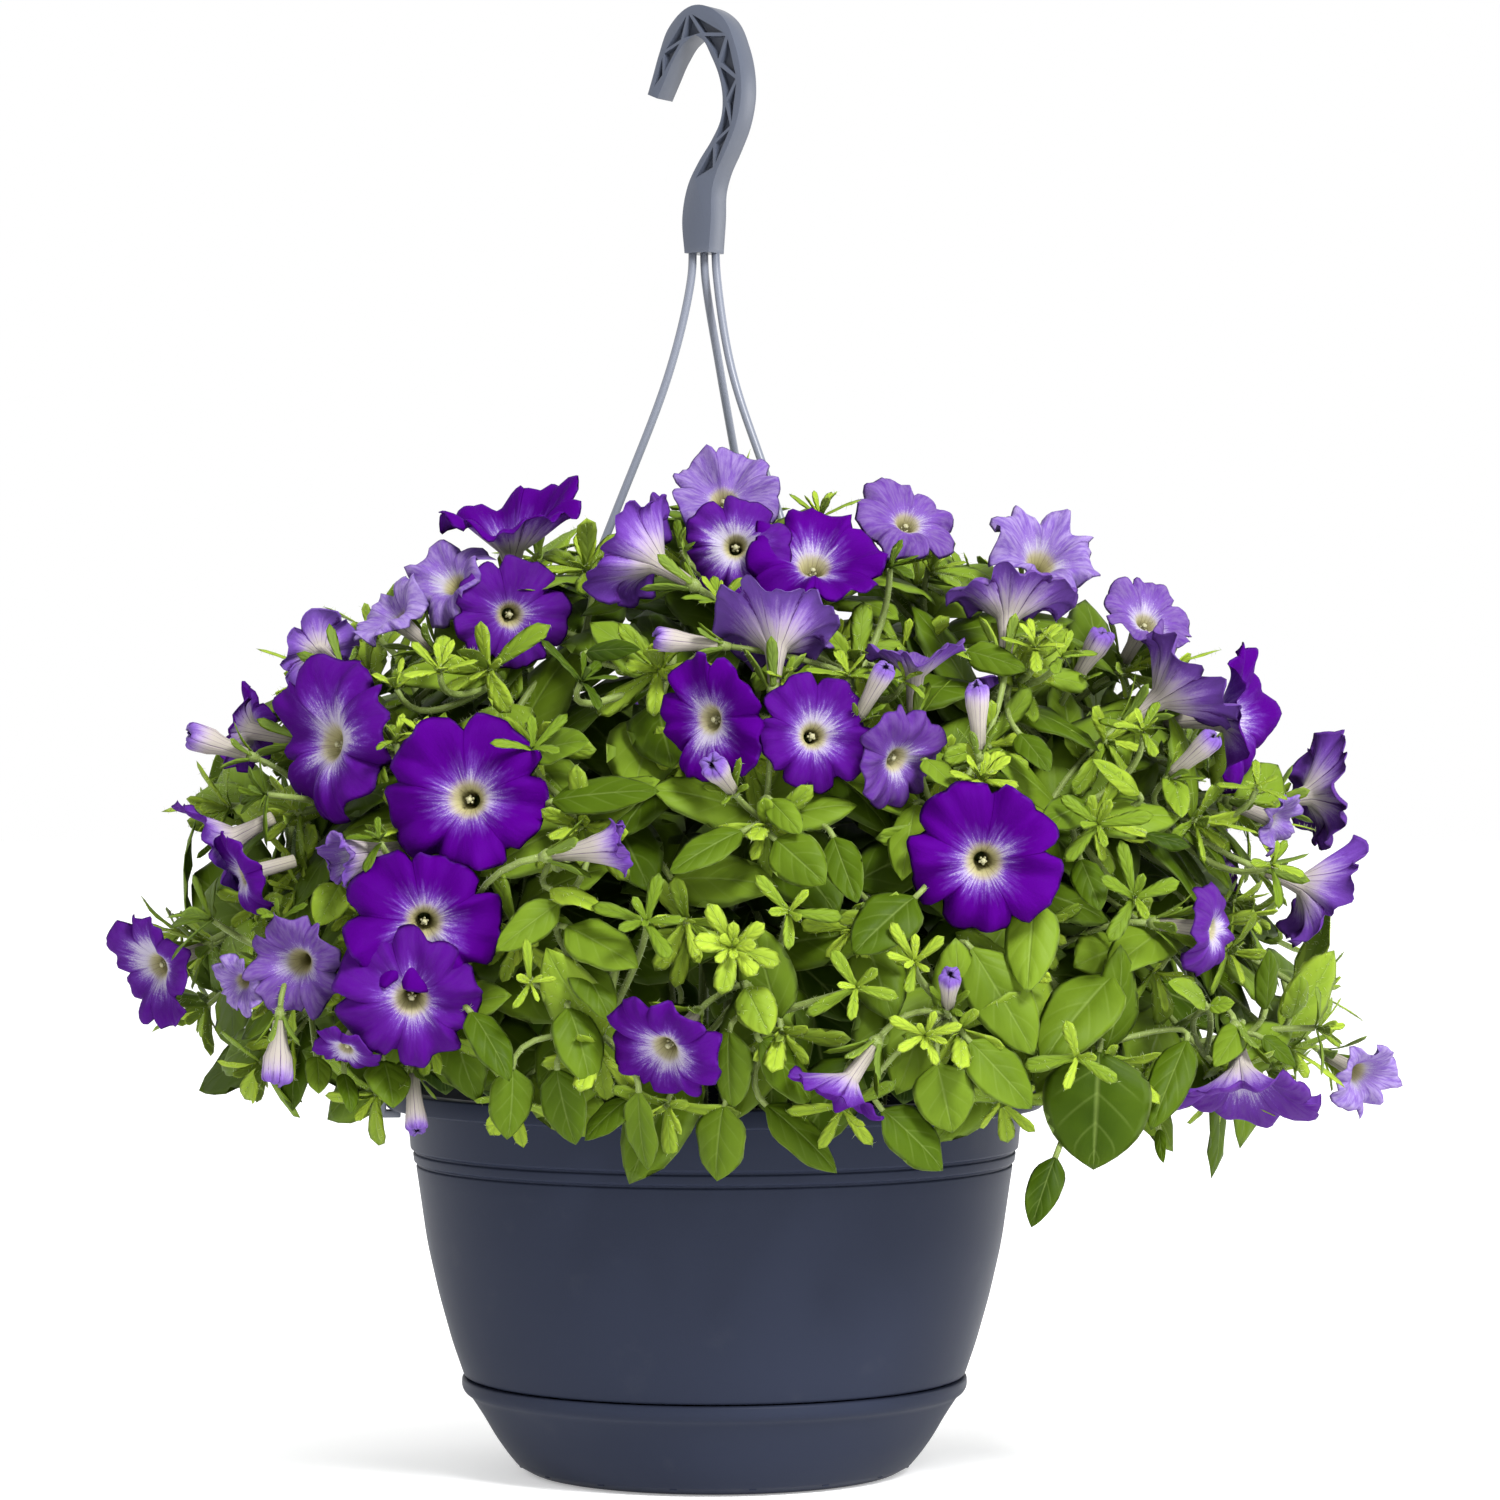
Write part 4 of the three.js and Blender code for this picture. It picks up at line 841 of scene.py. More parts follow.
def corolla_lattices(bloom, columns, flare_rows, tube_rows=7):
    """Inner and outer faces of a funnel of five fused petals with a slim tube."""
    radius, form = bloom.radius, bloom.form
    crumple = CRUMPLE[form]
    draw = drawer(bloom.index + SEEDS["rim"])
    corners = 15 if radius > LARGE else 10
    edge_heights = [radius * RUFFLE * (2 * draw() - 1) for _ in range(corners)]
    draw = drawer(bloom.index + SEEDS["corolla"])
    turn = np.linspace(0, 2 * math.pi, columns, endpoint=False)
    lobe = turn * 2.5 / math.pi
    join = np.abs(lobe - np.round(lobe))
    throat_radius, throat_depth = (share * radius for share in THROATS[form])
    throat_radius *= FUNNEL.get(form, 1)
    petal = (turn / (2 * math.pi) + 0.9) % 1
    reach = ring_through([0.9 + 0.19 * draw() for _ in range(5)], petal)
    rim = radius * (reach - (NOTCH + 0.06) * np.exp(-(join / 0.065) ** 2)
                    - 0.04 * np.exp(-((0.5 - join) / 0.06) ** 2)
                    + 0.022 * np.sin(8 * turn + 6 * draw()) + 0.016 * np.sin(13 * turn + 6 * draw()))
    edge = ring_through(edge_heights, turn / (2 * math.pi))
    ruffle = sum(crumple * radius * size * np.sin(count * turn + 2 * math.pi * draw())
                 for count, size in ((2, 0.05), (4, 0.04), (7, 0.045), (12, 0.032), (19, 0.016)))
    bend = radius * ring_through([0.56 * draw() - 0.33 for _ in range(5)], petal)
    cup, sag = 0.16 * (draw() - 0.5), 0.1 * draw()
    q = np.linspace(0, 1, flare_rows)[:, None] ** 0.92
    r = throat_radius + (rim - throat_radius) * q
    rise = 1 - (1 - q) ** (1.35 if form == "trumpet" else 2.1)
    z = (throat_depth + (edge - throat_depth) * rise + ruffle * q**2.2 + bend * q**2
         + radius * (cup * q**2 - (0.08 + sag) * q**6)
         + radius * 0.04 * np.cos(2 * math.pi * lobe) * np.sin(math.pi * q) ** 1.5
         - radius * 0.03 * np.exp(-((0.5 - join) / 0.05) ** 2) * q
         - radius * 0.075 * np.exp(-(join / 0.06) ** 2) * q)
    high = np.array([bloom.side(a).z for a in turn])
    if max(high) > 0.2:
        z = z + bloom.fold * radius * np.clip(high / max(high), 0, 1) ** 1.3 * q**1.6
    if form == "faded":
        r = r * (1 - 0.09 * q**2 * np.sin(turn * 8 + 4 * draw()))
        z = z + radius * 0.08 * q**3 * np.sin(turn * 9 + 5 * draw())
    if form in ("half", "bud"):
        fold = 0.3 * np.cos(turn * 5) + 0.1 * np.sin(turn * 12 + 6 * draw())
        close = 0.82 if form == "bud" else 0.2
        r = (throat_radius + (radius - throat_radius) * q) * (1 + fold * q**1.3) * (1 - close * q**3)
    t = np.linspace(0, 1, tube_rows)[1:-1, None]
    slim = TUBE_FOOT
    swell = slim + (throat_radius - slim) * (0.35 * t + 0.65 * t**3) * (1 + 0.03 * np.cos(5 * turn))
    bore = slim + (throat_radius * 0.5 - slim) * t + 0.5 * throat_radius * t**6 + 0 * turn
    tube_z = -bloom.tube + (throat_depth + bloom.tube) * t + 0 * turn
    floor_r = np.array([[0.0], [slim]]) + 0 * turn
    floor_z = np.full((2, 1), -float(bloom.tube)) + 0 * turn
    radii, bores = (np.concatenate([floor_r, tube, r]) for tube in (swell, np.minimum(bore, swell)))
    heights = np.concatenate([floor_z, tube_z, z])
    u, v, w, centre = (np.array(a) for a in (bloom.u, bloom.v, bloom.w, bloom.centre))
    share_out = np.linspace(0, 1, len(radii))[:, None, None]
    inner, middle = (centre + (width * np.cos(turn))[..., None] * u
                     + (width * np.sin(turn))[..., None] * v + heights[..., None] * w
                     for width in (bores, radii))
    along, around = np.gradient(middle, axis=0), np.roll(middle, -1, 1) - np.roll(middle, 1, 1)
    normal = np.cross(along, around)
    normal /= np.maximum(np.linalg.norm(normal, axis=2, keepdims=True), 1e-9)
    thick = 0.42 * (1 - share_out**10)
    outer = middle.copy()
    outer[1:] -= (normal * thick)[1:]
    outer[0] -= 0.5 * w
    share = np.concatenate([np.linspace(0, FLARE_FROM, tube_rows + 1)[:-1],
                            FLARE_FROM + (1 - FLARE_FROM) * q[:, 0]])
    quads, places = lattice(len(radii), columns, closed=True)
    back, back_places = lattice(len(radii), columns, closed=True, flip=True)
    for p in (places, back_places):
        p[..., 1] = np.interp(p[..., 1] * (len(radii) - 1), np.arange(len(radii)), share)
    count = inner.shape[0] * columns
    return (np.concatenate([inner.reshape(-1, 3), outer.reshape(-1, 3)]),
            np.concatenate([back, quads + count]), np.concatenate([back_places, places]),
            np.repeat([0.0, 1.0], count))


def bead_lattice(centre, radius, ahead, stretch):
    """A small round bead, drawn out along one way."""
    steps = [math.radians(a) for a in (-60, -20, 20, 60)]
    centres = [centre + radius * stretch * math.sin(a) * ahead for a in steps]
    end = 0.25 * radius * ahead
    return tube_lattice([centres[0] - end, *centres, centres[-1] + end],
                        [radius * 0.2, *(radius * math.cos(a) for a in steps), radius * 0.2], 6)


def stamens(bloom):
    """Five anthers close round a pale stigma, in the mouth of the tube."""
    heart = bloom.centre + (THROATS[bloom.form][1] * bloom.radius - 1.6) * bloom.w
    made = [bead_lattice(heart + 0.5 * bloom.w, 1.25, bloom.w, 0.6),
            tube_lattice([heart - 6 * bloom.w, heart + 0.4 * bloom.w], [0.45, 0.45], 5)]
    for i in range(5):
        side = bloom.side(2 * math.pi * i / 5 + bloom.index)
        made.append(bead_lattice(heart + 1.2 * side + (0.4 * math.sin(i * 2.4) - 1.9) * bloom.w, 0.6,
                                 (bloom.w + 0.4 * side).normalized(), 1.2))
    return made


def corollas(name, blooms, *materials):
    """The petals of some blooms, and the stamens of those that are open."""
    parts = Gathering("under", "fade", "seed")
    for bloom in blooms:
        size = "bud" if bloom.form == "bud" else "large" if bloom.radius > 18 else "small"
        shape = corolla_lattices(bloom, *COROLLA_DETAIL[size])
        parts.add(shape, under=shape[3], fade=bloom.fade, seed=(bloom.index * 0.37) % 3)
        if bloom.form in ("open", "trumpet"):
            for shape in stamens(bloom):
                parts.add(shape, 1)
    return parts.piece(name, *materials)


BLOOM_LIST = [Bloom(i, *row[1:], FOLDS.get(row[0], 0.1)) for i, row in enumerate(BLOOMS)]
BUD_LIST = [Bloom(FIRST_BUD + i, *row[:6], "bud", row[6]) for i, row in enumerate(BUDS)]


# ---- leafy stems ----

class Garden:
    """What leaves keep clear of: the corollas, the lip of the pot, the hanger and each other."""

    def __init__(self):
        points, quads, count = [], [], 0
        for bloom in BLOOM_LIST + BUD_LIST:
            shape = corolla_lattices(bloom, 30, 7, 5)
            points.append(shape[0])
            quads.append(shape[1] + count)
            count += len(shape[0])
        for name in ("pot", "hanger"):
            points.append(node_points(name))
            faces = np.array([tuple(p.vertices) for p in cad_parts[name].data.polygons])
            quads.append(np.concatenate([faces, faces[:, :1]], axis=1) + count)
            count += len(points[-1])
        faces = [tuple(dict.fromkeys(q)) for q in np.concatenate(quads).tolist()]
        self.fixed = BVHTree.FromPolygons(np.concatenate(points).tolist(), faces)
        self.blades = []

    def room_for(self, lattices, crowd=0):
        """True if a blade meets no corolla, pot or hanger, and at most a number of other blades."""
        points, quads = lattices[0], lattices[1]
        low, high = points.min(0), points.max(0)
        tree = BVHTree.FromPolygons(points.tolist(), quads[:len(quads) // 2].tolist())
        if tree.overlap(self.fixed):
            return False
        met = 0
        for other_low, other_high, other in self.blades:
            if (low <= other_high).all() and (other_low <= high).all() and tree.overlap(other):
                met += 1
                if met > crowd:
                    return False
        self.blades.append((low, high, tree))
        return True


def node_points(name):
    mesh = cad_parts[name].data
    points = np.empty(len(mesh.vertices) * 3)
    mesh.vertices.foreach_get("co", points)
    return points.reshape(-1, 3) / MM


def tree_of(points):
    tree = kdtree.KDTree(len(points))
    for i, point in enumerate(points):
        tree.insert(point, i)
    tree.balance()
    return tree


def shoots_of(number, name, near):
    """The stem's shoots, each on the way that its solid took."""
    azimuth, distance, tips = STEMS[name]
    shoots = []
    for i, tip in enumerate(tips):
        if i == 0:
            start, heading, gauge = polar(azimuth, distance, STEM["root"]), UP, STEM
        else:
            t = BRANCH["first"] + BRANCH["step"] * (i - 1)
            start, heading, gauge = shoots[0].chord_point(t), shoots[0].tangent(t), BRANCH
        ways = [Shoot(number, i, start, heading, (tip[0] + n, tip[1]), gauge) for n in NUDGES]
        shoots.append(min(ways, key=lambda way: near.find(way.tip)[2]))
    return shoots


def calyx_ring(bloom):
    return [bloom.foot + CALYX["lobe"] * bloom.w + CALYX["spread"] * bloom.side(turn)
            for turn in LOBE_TURNS]


def stalk_ways(bloom, shoots):
    """Ways back from a bloom's cup to the shoots, the shortest and straightest first."""
    back, start = -bloom.w, bloom.foot - (CALYX["height"] + GAP) * bloom.w
    ways = []
    for shoot in shoots:
        for t in STALK_SHARES:
            end = shoot.chord_point(t)
            span = (end - start).length
            cost = span + 45 * (1 - (end - start).dot(back) / span)
            ways.append((cost, start, start + 0.45 * span * back, end))
    return sorted(ways, key=lambda way: way[0])


def solid_stalk(bloom, ways, points):
    """The way on whose straight edges the solid's own corners lie."""
    def score(way):
        _, start, mid, end = way
        ahead = (mid - end).normalized()
        across = square_to(ahead, bloom.u)
        rise = ahead.cross(across)
        found = 0
        for i in range(5):
            c, s = math.cos(0.4 * math.pi * i), math.sin(0.4 * math.pi * i)
            a = np.array(start + 1.6 * (c * bloom.u + s * bloom.v))
            b = np.array(end + 1.2 * (c * across + s * rise))
            share = np.clip((points - a) @ (b - a) / ((b - a) @ (b - a)), 0.25, 0.999)
            gap = np.linalg.norm(a + share[:, None] * (b - a) - points, axis=1)
            found += bool((gap < NEAR["stalk"]).any())
        return found
    return max(ways, key=lambda way: (score(way), -way[0]))


def bend(start, mid, end, t):
    return (1 - t) ** 2 * start + 2 * t * (1 - t) * mid + t * t * end


def arc(start, mid, end, steps):
    return [bend(start, mid, end, i / steps) for i in range(steps + 1)]


def rosette(centre, ahead, draw, count, length, width, lean):
    """Narrow young leaves standing round a tip by the golden turn, the inner ones steeper."""
    across = ahead.orthogonal().normalized()
    rise = ahead.cross(across)
    start = draw() * 2 * math.pi
    for i in range(count):
        turn = start + math.radians(GOLDEN_TURN) * i
        inner = i / count
        tilt = math.radians(lean * (1 - 0.75 * inner) + 14 * (draw() - 0.5))
        side = math.cos(turn) * across + math.sin(turn) * rise
        way = (math.cos(tilt) * ahead + math.sin(tilt) * side).normalized()
        upper = square_to(way, math.cos(tilt) * -side + math.sin(tilt) * ahead)
        size = (1 - 0.55 * inner) * (0.85 + 0.3 * draw())
        yield {"foot": centre + 2.5 * inner * ahead, "ahead": way, "upper": upper,
               "length": length * size, "width": width * size * (0.9 + 0.3 * draw()),
               "droop": 0.1 + 0.25 * draw() * (1 - inner), "wave": [0.8 * (draw() - 0.5)] * 4}, inner


def leaf_middle(leaf):
    return leaf["foot"] + 0.6 * leaf["length"] * leaf["ahead"]


class StemPiece:
    """Gathers one stem's tubes, leaves, rosettes and cups."""

    def __init__(self, number, name, garden):
        self.number, self.name, self.garden = number, name, garden
        self.parts = Gathering("tone", "under")
        self.points = node_points(name)
        self.near = tree_of(self.points)
        self.shoots = shoots_of(number, name, self.near)
        self.draw = drawer(number + SEEDS["stem"])

    def blade(self, leaf, tone, outline=OVATE, rows=10, columns=9, fold=0.0):
        self.add_blade(blade_lattices(leaf, outline, rows, columns, fold), tone)

    def add_blade(self, shape, tone):
        self.parts.add(shape, 0, tone=tone, under=shape[3])

    def rod(self, centres, radii, sides=7):
        self.parts.add(tube_lattice(centres, radii, sides), 1, tone=0.5)

    def stems(self):
        for shoot in self.shoots:
            steps = 14 if shoot.index == 0 else 9
            ways = [shoot.chord_point(i / steps).lerp(shoot.point(i / steps), 0.7)
                    for i in range(steps + 1)]
            self.rod(ways, [shoot.radius * (1.1 - 0.35 * i / steps) for i in range(steps + 1)])

    def is_own(self, leaf):
        return self.near.find(leaf_tip(leaf))[2] < NEAR["leaf"]

    def own_leaves(self):
        """The solid's own leaves, found by their tips."""
        for shoot in self.shoots:
            leaf = tip_leaf_at(shoot)
            if self.is_own(leaf):
                self.garden.room_for(blade_lattices(leaf, SPATULATE, 6, 5), ANY_CROWD)
                self.blade(leaf, 1.0, SPATULATE, 7, 5)
            for order, distance in enumerate(LEAF_PLACES[:2 if self.name in TWO_LEAVED else 3]):
                for attempt in range(len(LEAF_TURNS)):
                    leaf = leaf_at(shoot, distance, order, attempt)
                    if self.is_own(leaf):
                        self.garden.room_for(blade_lattices(leaf, OVATE, 5, 5), ANY_CROWD)
                        self.blade(leaf, self.tone_with_depth_shade_at(leaf, distance))
                        break

    def tone_with_depth_shade_at(self, leaf, distance):
        """Paler the nearer it lies to the mound's skin, which is painted shade darkening the leaves
        deep inside, and a little paler nearer its shoot's tip.
        """
        # painted shade: the deeper in the mound, the darker the tone
        out = max(0, min(1, (reach_of(leaf_middle(leaf)) - 0.66) / 0.32))
        return 0.02 + 0.55 * out + 0.5 * self.draw() - 0.04 - distance * 0.0012

    def more_leaves(self, shoot, places, crowd):
        for order, distance in enumerate(places):
            if distance > 0.8 * shoot.span:
                return
            for attempt in range(len(LEAF_TURNS)):
                leaf = leaf_at(shoot, distance, order + 10, attempt)
                middle = leaf_middle(leaf)
                if middle.y < FRONT["y"] and reach_of(middle) > FRONT["reach"]:
                    continue
                if self.garden.room_for(blade_lattices(leaf, OVATE, 5, 5),
                                        crowd + (2 if distance > 70 else 0)):
                    rows, columns = (9, 7) if distance < 70 else (7, 5)
                    self.blade(leaf, self.tone_with_depth_shade_at(leaf, distance), OVATE, rows, columns)
                    break

    def tip_rosette(self, centre, ahead, count=8, length=27, width=8, lean=72, tone=0.85):
        for leaf, inner in rosette(centre, ahead, self.draw, count, length, width, lean):
            if self.garden.room_for(blade_lattices(leaf, SPATULATE, 4, 3), 3):
                self.blade(leaf, tone - 0.12 + 0.25 * inner + 0.16 * self.draw(), SPATULATE, 8, 5,
                           fold=0.1)

    def cup(self, bloom):
        """Five slim green lobes round the foot of a tube."""
        heart = bloom.foot - 4.2 * bloom.w
        small = 0.7 if bloom.form == "bud" else 1.0
        self.rod([heart - 1.2 * bloom.w, heart + 1.5 * bloom.w, heart + 4.4 * bloom.w],
                 [1.5, 2.9 * small, 2.75 * small], 9)
        for turn in LOBE_TURNS:
            side = bloom.side(turn)
            ahead = (bloom.w + (0.3 + 0.16 * self.draw()) * side).normalized()
            upper = (ahead.dot(side) * ahead - side).normalized()
            self.blade({"foot": heart + 1.5 * bloom.w + 2.2 * small * side, "ahead": ahead,
                        "upper": upper, "length": (17 + 4 * self.draw()) * small, "width": 4.6 * small,
                        "droop": 0.16 + 0.2 * self.draw(), "wave": [0.2, -0.2, 0.1, -0.1]},
                       0.62 + 0.25 * self.draw(), SPATULATE, 7, 5)

    def cups(self):
        for bloom in BLOOM_LIST:
            if all(self.near.find(tip)[2] < NEAR["calyx"] for tip in calyx_ring(bloom)[:3]):
                _, start, mid, end = solid_stalk(bloom, stalk_ways(bloom, self.shoots), self.points)
                steps = 7
                self.rod(arc(start + 1.5 * bloom.w, mid, end, steps),
                         [1.5 - 0.35 * math.sin(math.pi * i / steps) for i in range(steps + 1)], 6)
                self.cup(bloom)

    def piece(self, leaf, stem, hair):
        self.parts.grow_hairs(self.number + SEEDS["hairs"], 2)
        made = self.parts.piece(f"leafy_{self.name}", leaf, stem, hair)
        return finished(made, "foliage", self.name)


def side_shoots(stem, number):
    """Short shoots that fill the mound between the stem's own."""
    turns = ((9, 11), (-9, 12), (11, -10), (-11, -9), (4, 20), (-5, 26))
    for shoot in list(stem.shoots):
        tip = STEMS[stem.name][2][shoot.index]
        for extra in range(number):
            for way in range(len(turns)):
                east, north = turns[(way + extra * 2 + shoot.index) % len(turns)]
                fill = 0.8 + 0.08 * stem.draw()
                t = 0.5 + 0.2 * stem.draw()
                made = Shoot(stem.number, 5 + len(stem.shoots), shoot.chord_point(t), shoot.tangent(t),
                             (tip[0] + east, max(-8, tip[1] + north)), BRANCH, fill)
                ways = [made.point(i / 8) for i in range(9)]
                radii = [1.6 - 0.5 * i / 8 for i in range(9)]
                if not stem.garden.room_for(tube_lattice(ways[2:], radii[2:], 5), 1):
                    continue
                stem.rod(ways, radii, 6)
                stem.shoots.append(made)
                break


def large_leaf(foot, tip, width, back, draw):
    foot, tip = Vector(foot) + Vector((0, back, 0)), Vector(tip) + Vector((0, back, 0))
    ahead = (tip - foot).normalized()
    upper = square_to(ahead, Vector((0.9 * draw() - 0.45 + 0.15 * ahead.x, -1, 0.25 + 0.5 * draw())))
    droop = 0.06 + 0.16 * draw()
    length = (tip - foot).length
    return {"foot": foot, "ahead": (ahead + droop * upper).normalized(), "upper": upper,
            "length": length, "width": width * 1.06, "droop": droop,
            "wave": [1.5 * draw() - 0.75 for _ in range(4)]}


def nearest_joint(stems, shares, spot):
    """The stem, and the place on one of its own shoots, that lie nearest a spot."""
    joints = [(stem, shoot.chord_point(t)) for stem in stems for shoot in stem.shoots[:4]
              for t in shares]
    return min(joints, key=lambda joint: (joint[1] - spot).length)


def place_large_leaves(stems):
    for i, (foot, tip, width, tone) in enumerate(LARGE_LEAVES):
        for back in LARGE_LEAF_BACKS:
            leaf = large_leaf(foot, tip, width, back, drawer(i + SEEDS["large_leaf"]))
            shape = blade_lattices(leaf, OVATE, 14, 13)
            if stems[0].garden.room_for(shape, 1):
                break
        else:
            continue
        stem, joint = nearest_joint(stems, STALK_SHARES[2:], leaf["foot"])
        span = (joint - leaf["foot"]).length
        mid = leaf["foot"] - 0.4 * span * leaf["ahead"]
        stem.rod(arc(joint, mid, leaf["foot"] + 1.0 * leaf["ahead"], 6), [1.2] * 7, 6)
        stem.add_blade(shape, tone)


def place_young_tips(stems):
    for x, y, z, azimuth, elevation, count, length, tone in ROSETTES:
        centre, ahead = Vector((x, y, z)), facing(azimuth, elevation)
        stem, joint = nearest_joint(stems, (0.45, 0.6, 0.75, 0.9), centre - 12 * ahead)
        span = (joint - centre).length
        stalk = arc(joint, centre - 0.5 * span * ahead, centre, 8)
        stem.rod(stalk, [1.6 - 0.05 * k for k in range(9)])
        width, lean = 0.42 if count > 10 else 0.3, 78 if count < 8 else 68
        stem.tip_rosette(centre, ahead, count, length * 1.1, length * width, lean, tone)


def place_buds(stems):
    for bud in BUD_LIST:
        spots = [(stem, shoot) for stem in stems for shoot in stem.shoots]
        stem, shoot = min(spots, key=lambda s: stalk_ways(bud, [s[1]])[0][0])
        _, start, mid, end = stalk_ways(bud, [shoot])[0]
        stem.rod(arc(start + 1.5 * bud.w, mid, end, 6), [1.2] * 7, 6)
        stem.cup(bud)


# ---- pot, compost and hanger ----

def only(piece):
    """Select one object alone and make it active."""
    bpy.ops.object.select_all(action="DESELECT")
    piece.select_set(True)
    bpy.context.view_layer.objects.active = piece


def rounded(profile):
    """The (radius, height, trim) corners of a profile, each rounded off within its trim."""
    corners = [Vector(c[:2]) for c in profile]
    way = []
    for i, (at, corner) in enumerate(zip(corners, profile)):
        trim = corner[2] if len(corner) > 2 else 0
        if not trim:
            way.append(at)
            continue
        start = at + (corners[i - 1] - at).normalized() * trim
        end = at + (corners[i + 1] - at).normalized() * trim
        way += [bend(start, at, end, t) for t in (0, 0.33, 0.67, 1)]
    return way


def solid(name, points, edges, faces, *edits):
    """Points, edges and faces made a solid by edits that each work on all of them."""
    mesh = bpy.data.meshes.new(name)
    mesh.from_pydata(points, edges, faces)
    made = linked(name, mesh)
    only(made)
    bpy.ops.object.mode_set(mode="EDIT")
    for edit in (*edits, lambda: bpy.ops.mesh.normals_make_consistent(inside=False)):
        bpy.ops.mesh.select_all(action="SELECT")
        edit()
    bpy.ops.object.mode_set(mode="OBJECT")
    return made


def turned(name, profile, steps):
    """A profile spun round the vertical axis."""
    way = rounded(profile)
    return solid(
        name, [(p.x * MM, 0, p.y * MM) for p in way], [(i, i + 1) for i in range(len(way) - 1)], [],
        lambda: bpy.ops.mesh.spin(steps=steps, angle=2 * math.pi, center=(0, 0, 0), axis=(0, 0, 1)),
        lambda: bpy.ops.mesh.remove_doubles(threshold=1e-6))


def apply_modifier(piece, kind, **settings):
    only(piece)
    modifier = piece.modifiers.new(kind.title(), kind)
    for name, value in settings.items():
        setattr(modifier, name, value)
    bpy.ops.object.modifier_apply(modifier=modifier.name)


def soften(piece, width, angle):
    """Round off the edges that are sharper than an angle."""
    apply_modifier(piece, "BEVEL", width=width * MM, segments=2, limit_method="ANGLE",
                   angle_limit=math.radians(angle))


def smooth(piece, angle):
    only(piece)
    bpy.ops.object.shade_smooth_by_angle(angle=math.radians(angle))


def cut(piece, tool):
    apply_modifier(piece, "BOOLEAN", operation="DIFFERENCE", object=tool, solver="EXACT")
    bpy.data.objects.remove(tool)


def baked(scale):
    """The object just added, with its place, turn and scale made part of its mesh."""
    made = bpy.context.object
    made.scale = scale
    bpy.ops.object.transform_apply(location=True, rotation=True, scale=True)
    return made


def joined(pieces):
    bpy.ops.object.select_all(action="DESELECT")
    for piece in pieces:
        piece.select_set(True)
    bpy.context.view_layer.objects.active = pieces[0]
    bpy.ops.object.join()
    return pieces[0]


def prism(name, outline, low, high):
    """A flat outline of points made a solid between two offsets."""
    return solid(
        name, [p + low for p in outline], [], [tuple(range(len(outline)))],
        lambda: bpy.ops.mesh.extrude_region_move(TRANSFORM_OT_translate={"value": high - low}))


def pot_shell(settings):
    p, w = POT, POT["wall"]
    shell = turned("pot_shell", [
        (0, p["floor_under"]), (p["foot"], p["floor_under"], 1.2), (*p["seat"], 1.5),
        (103.0, 39.3, 1.2), (107.8, 53, 4), (113.2, 72, 6), (118.2, 94, 6), (121.2, 115, 4),
        (122.7, 125.2, 0.5), (121.9, 125.7, 0.3), (122.0, 126.4, 0.3), (123.5, 127.0, 0.5),
        (124.0, 130.4, 0.5), (123.2, 130.9, 0.3), (123.3, 131.7, 0.3), (125.0, 132.4, 0.6),
        (126.5, p["lip_under"], 1.0), (p["lip"], p["lip_under"] + 0.4, 1.2),
        (p["lip"] - 0.1, p["lip_top"], 1.6), (p["mouth"], p["lip_top"], 1.4),
        (p["step"][0] - w, p["step"][1]), (p["waist"][0] - w, p["waist"][1], 2),
        (p["wall_foot"][0] - w, p["wall_foot"][1] + w, 1), (p["seat"][0] - w, p["seat"][1], 1),
        (p["foot"] - w, p["floor_top"], 1), (0, p["floor_top"])], settings.turns)
    for i in range(p["drains"]):
        at = polar(360 * i / p["drains"], p["drain_ring"], p["drain_height"]) * MM
        bpy.ops.mesh.primitive_cylinder_add(
            vertices=24, radius=p["drain"] * MM, depth=p["drain_depth"] * MM, location=at)
        cut(shell, bpy.context.object)
    smooth(shell, 30)
    return shell


def drip_saucer(settings):
    saucer = turned("drip_saucer", [
        (0, 0), (76, 0, 1), (81.5, 3, 1.2), (85.6, 8, 2), (90, 14.2, 3), (95.4, 23.5, 3),
        (100.4, 31, 1.2), (103, 32.8, 1.2), (104, 35.2, 1.2), (103.8, 38.4, 0.8), (101, 38.7, 0.6),
        (99.4, 32, 1), (88.4, 14, 2), (78, 2, 1), (0, 2)], settings.turns)
    ridges = []
    for i in range(settings.heel_ridges):
        azimuth = 360 * (i + 0.5) / settings.heel_ridges
        at = polar(azimuth, RIDGE["ring"], RIDGE["height"]) * MM
        bpy.ops.mesh.primitive_cube_add(size=MM, location=at, rotation=(0, 0, math.radians(azimuth)))
        ridge = baked(RIDGE["size"])
        apply_modifier(ridge, "BEVEL", width=RIDGE["trim"] * MM, segments=2)
        ridges.append(ridge)
    saucer = joined([saucer, *ridges])
    smooth(saucer, 30)
    return saucer


def crown_height(radius):
    """Height of the compost's crown, which falls off towards the wall."""
    c = COMPOST
    return c["edge"] + c["rise"] * min(1, (c["reach"] - radius) / c["slope"])


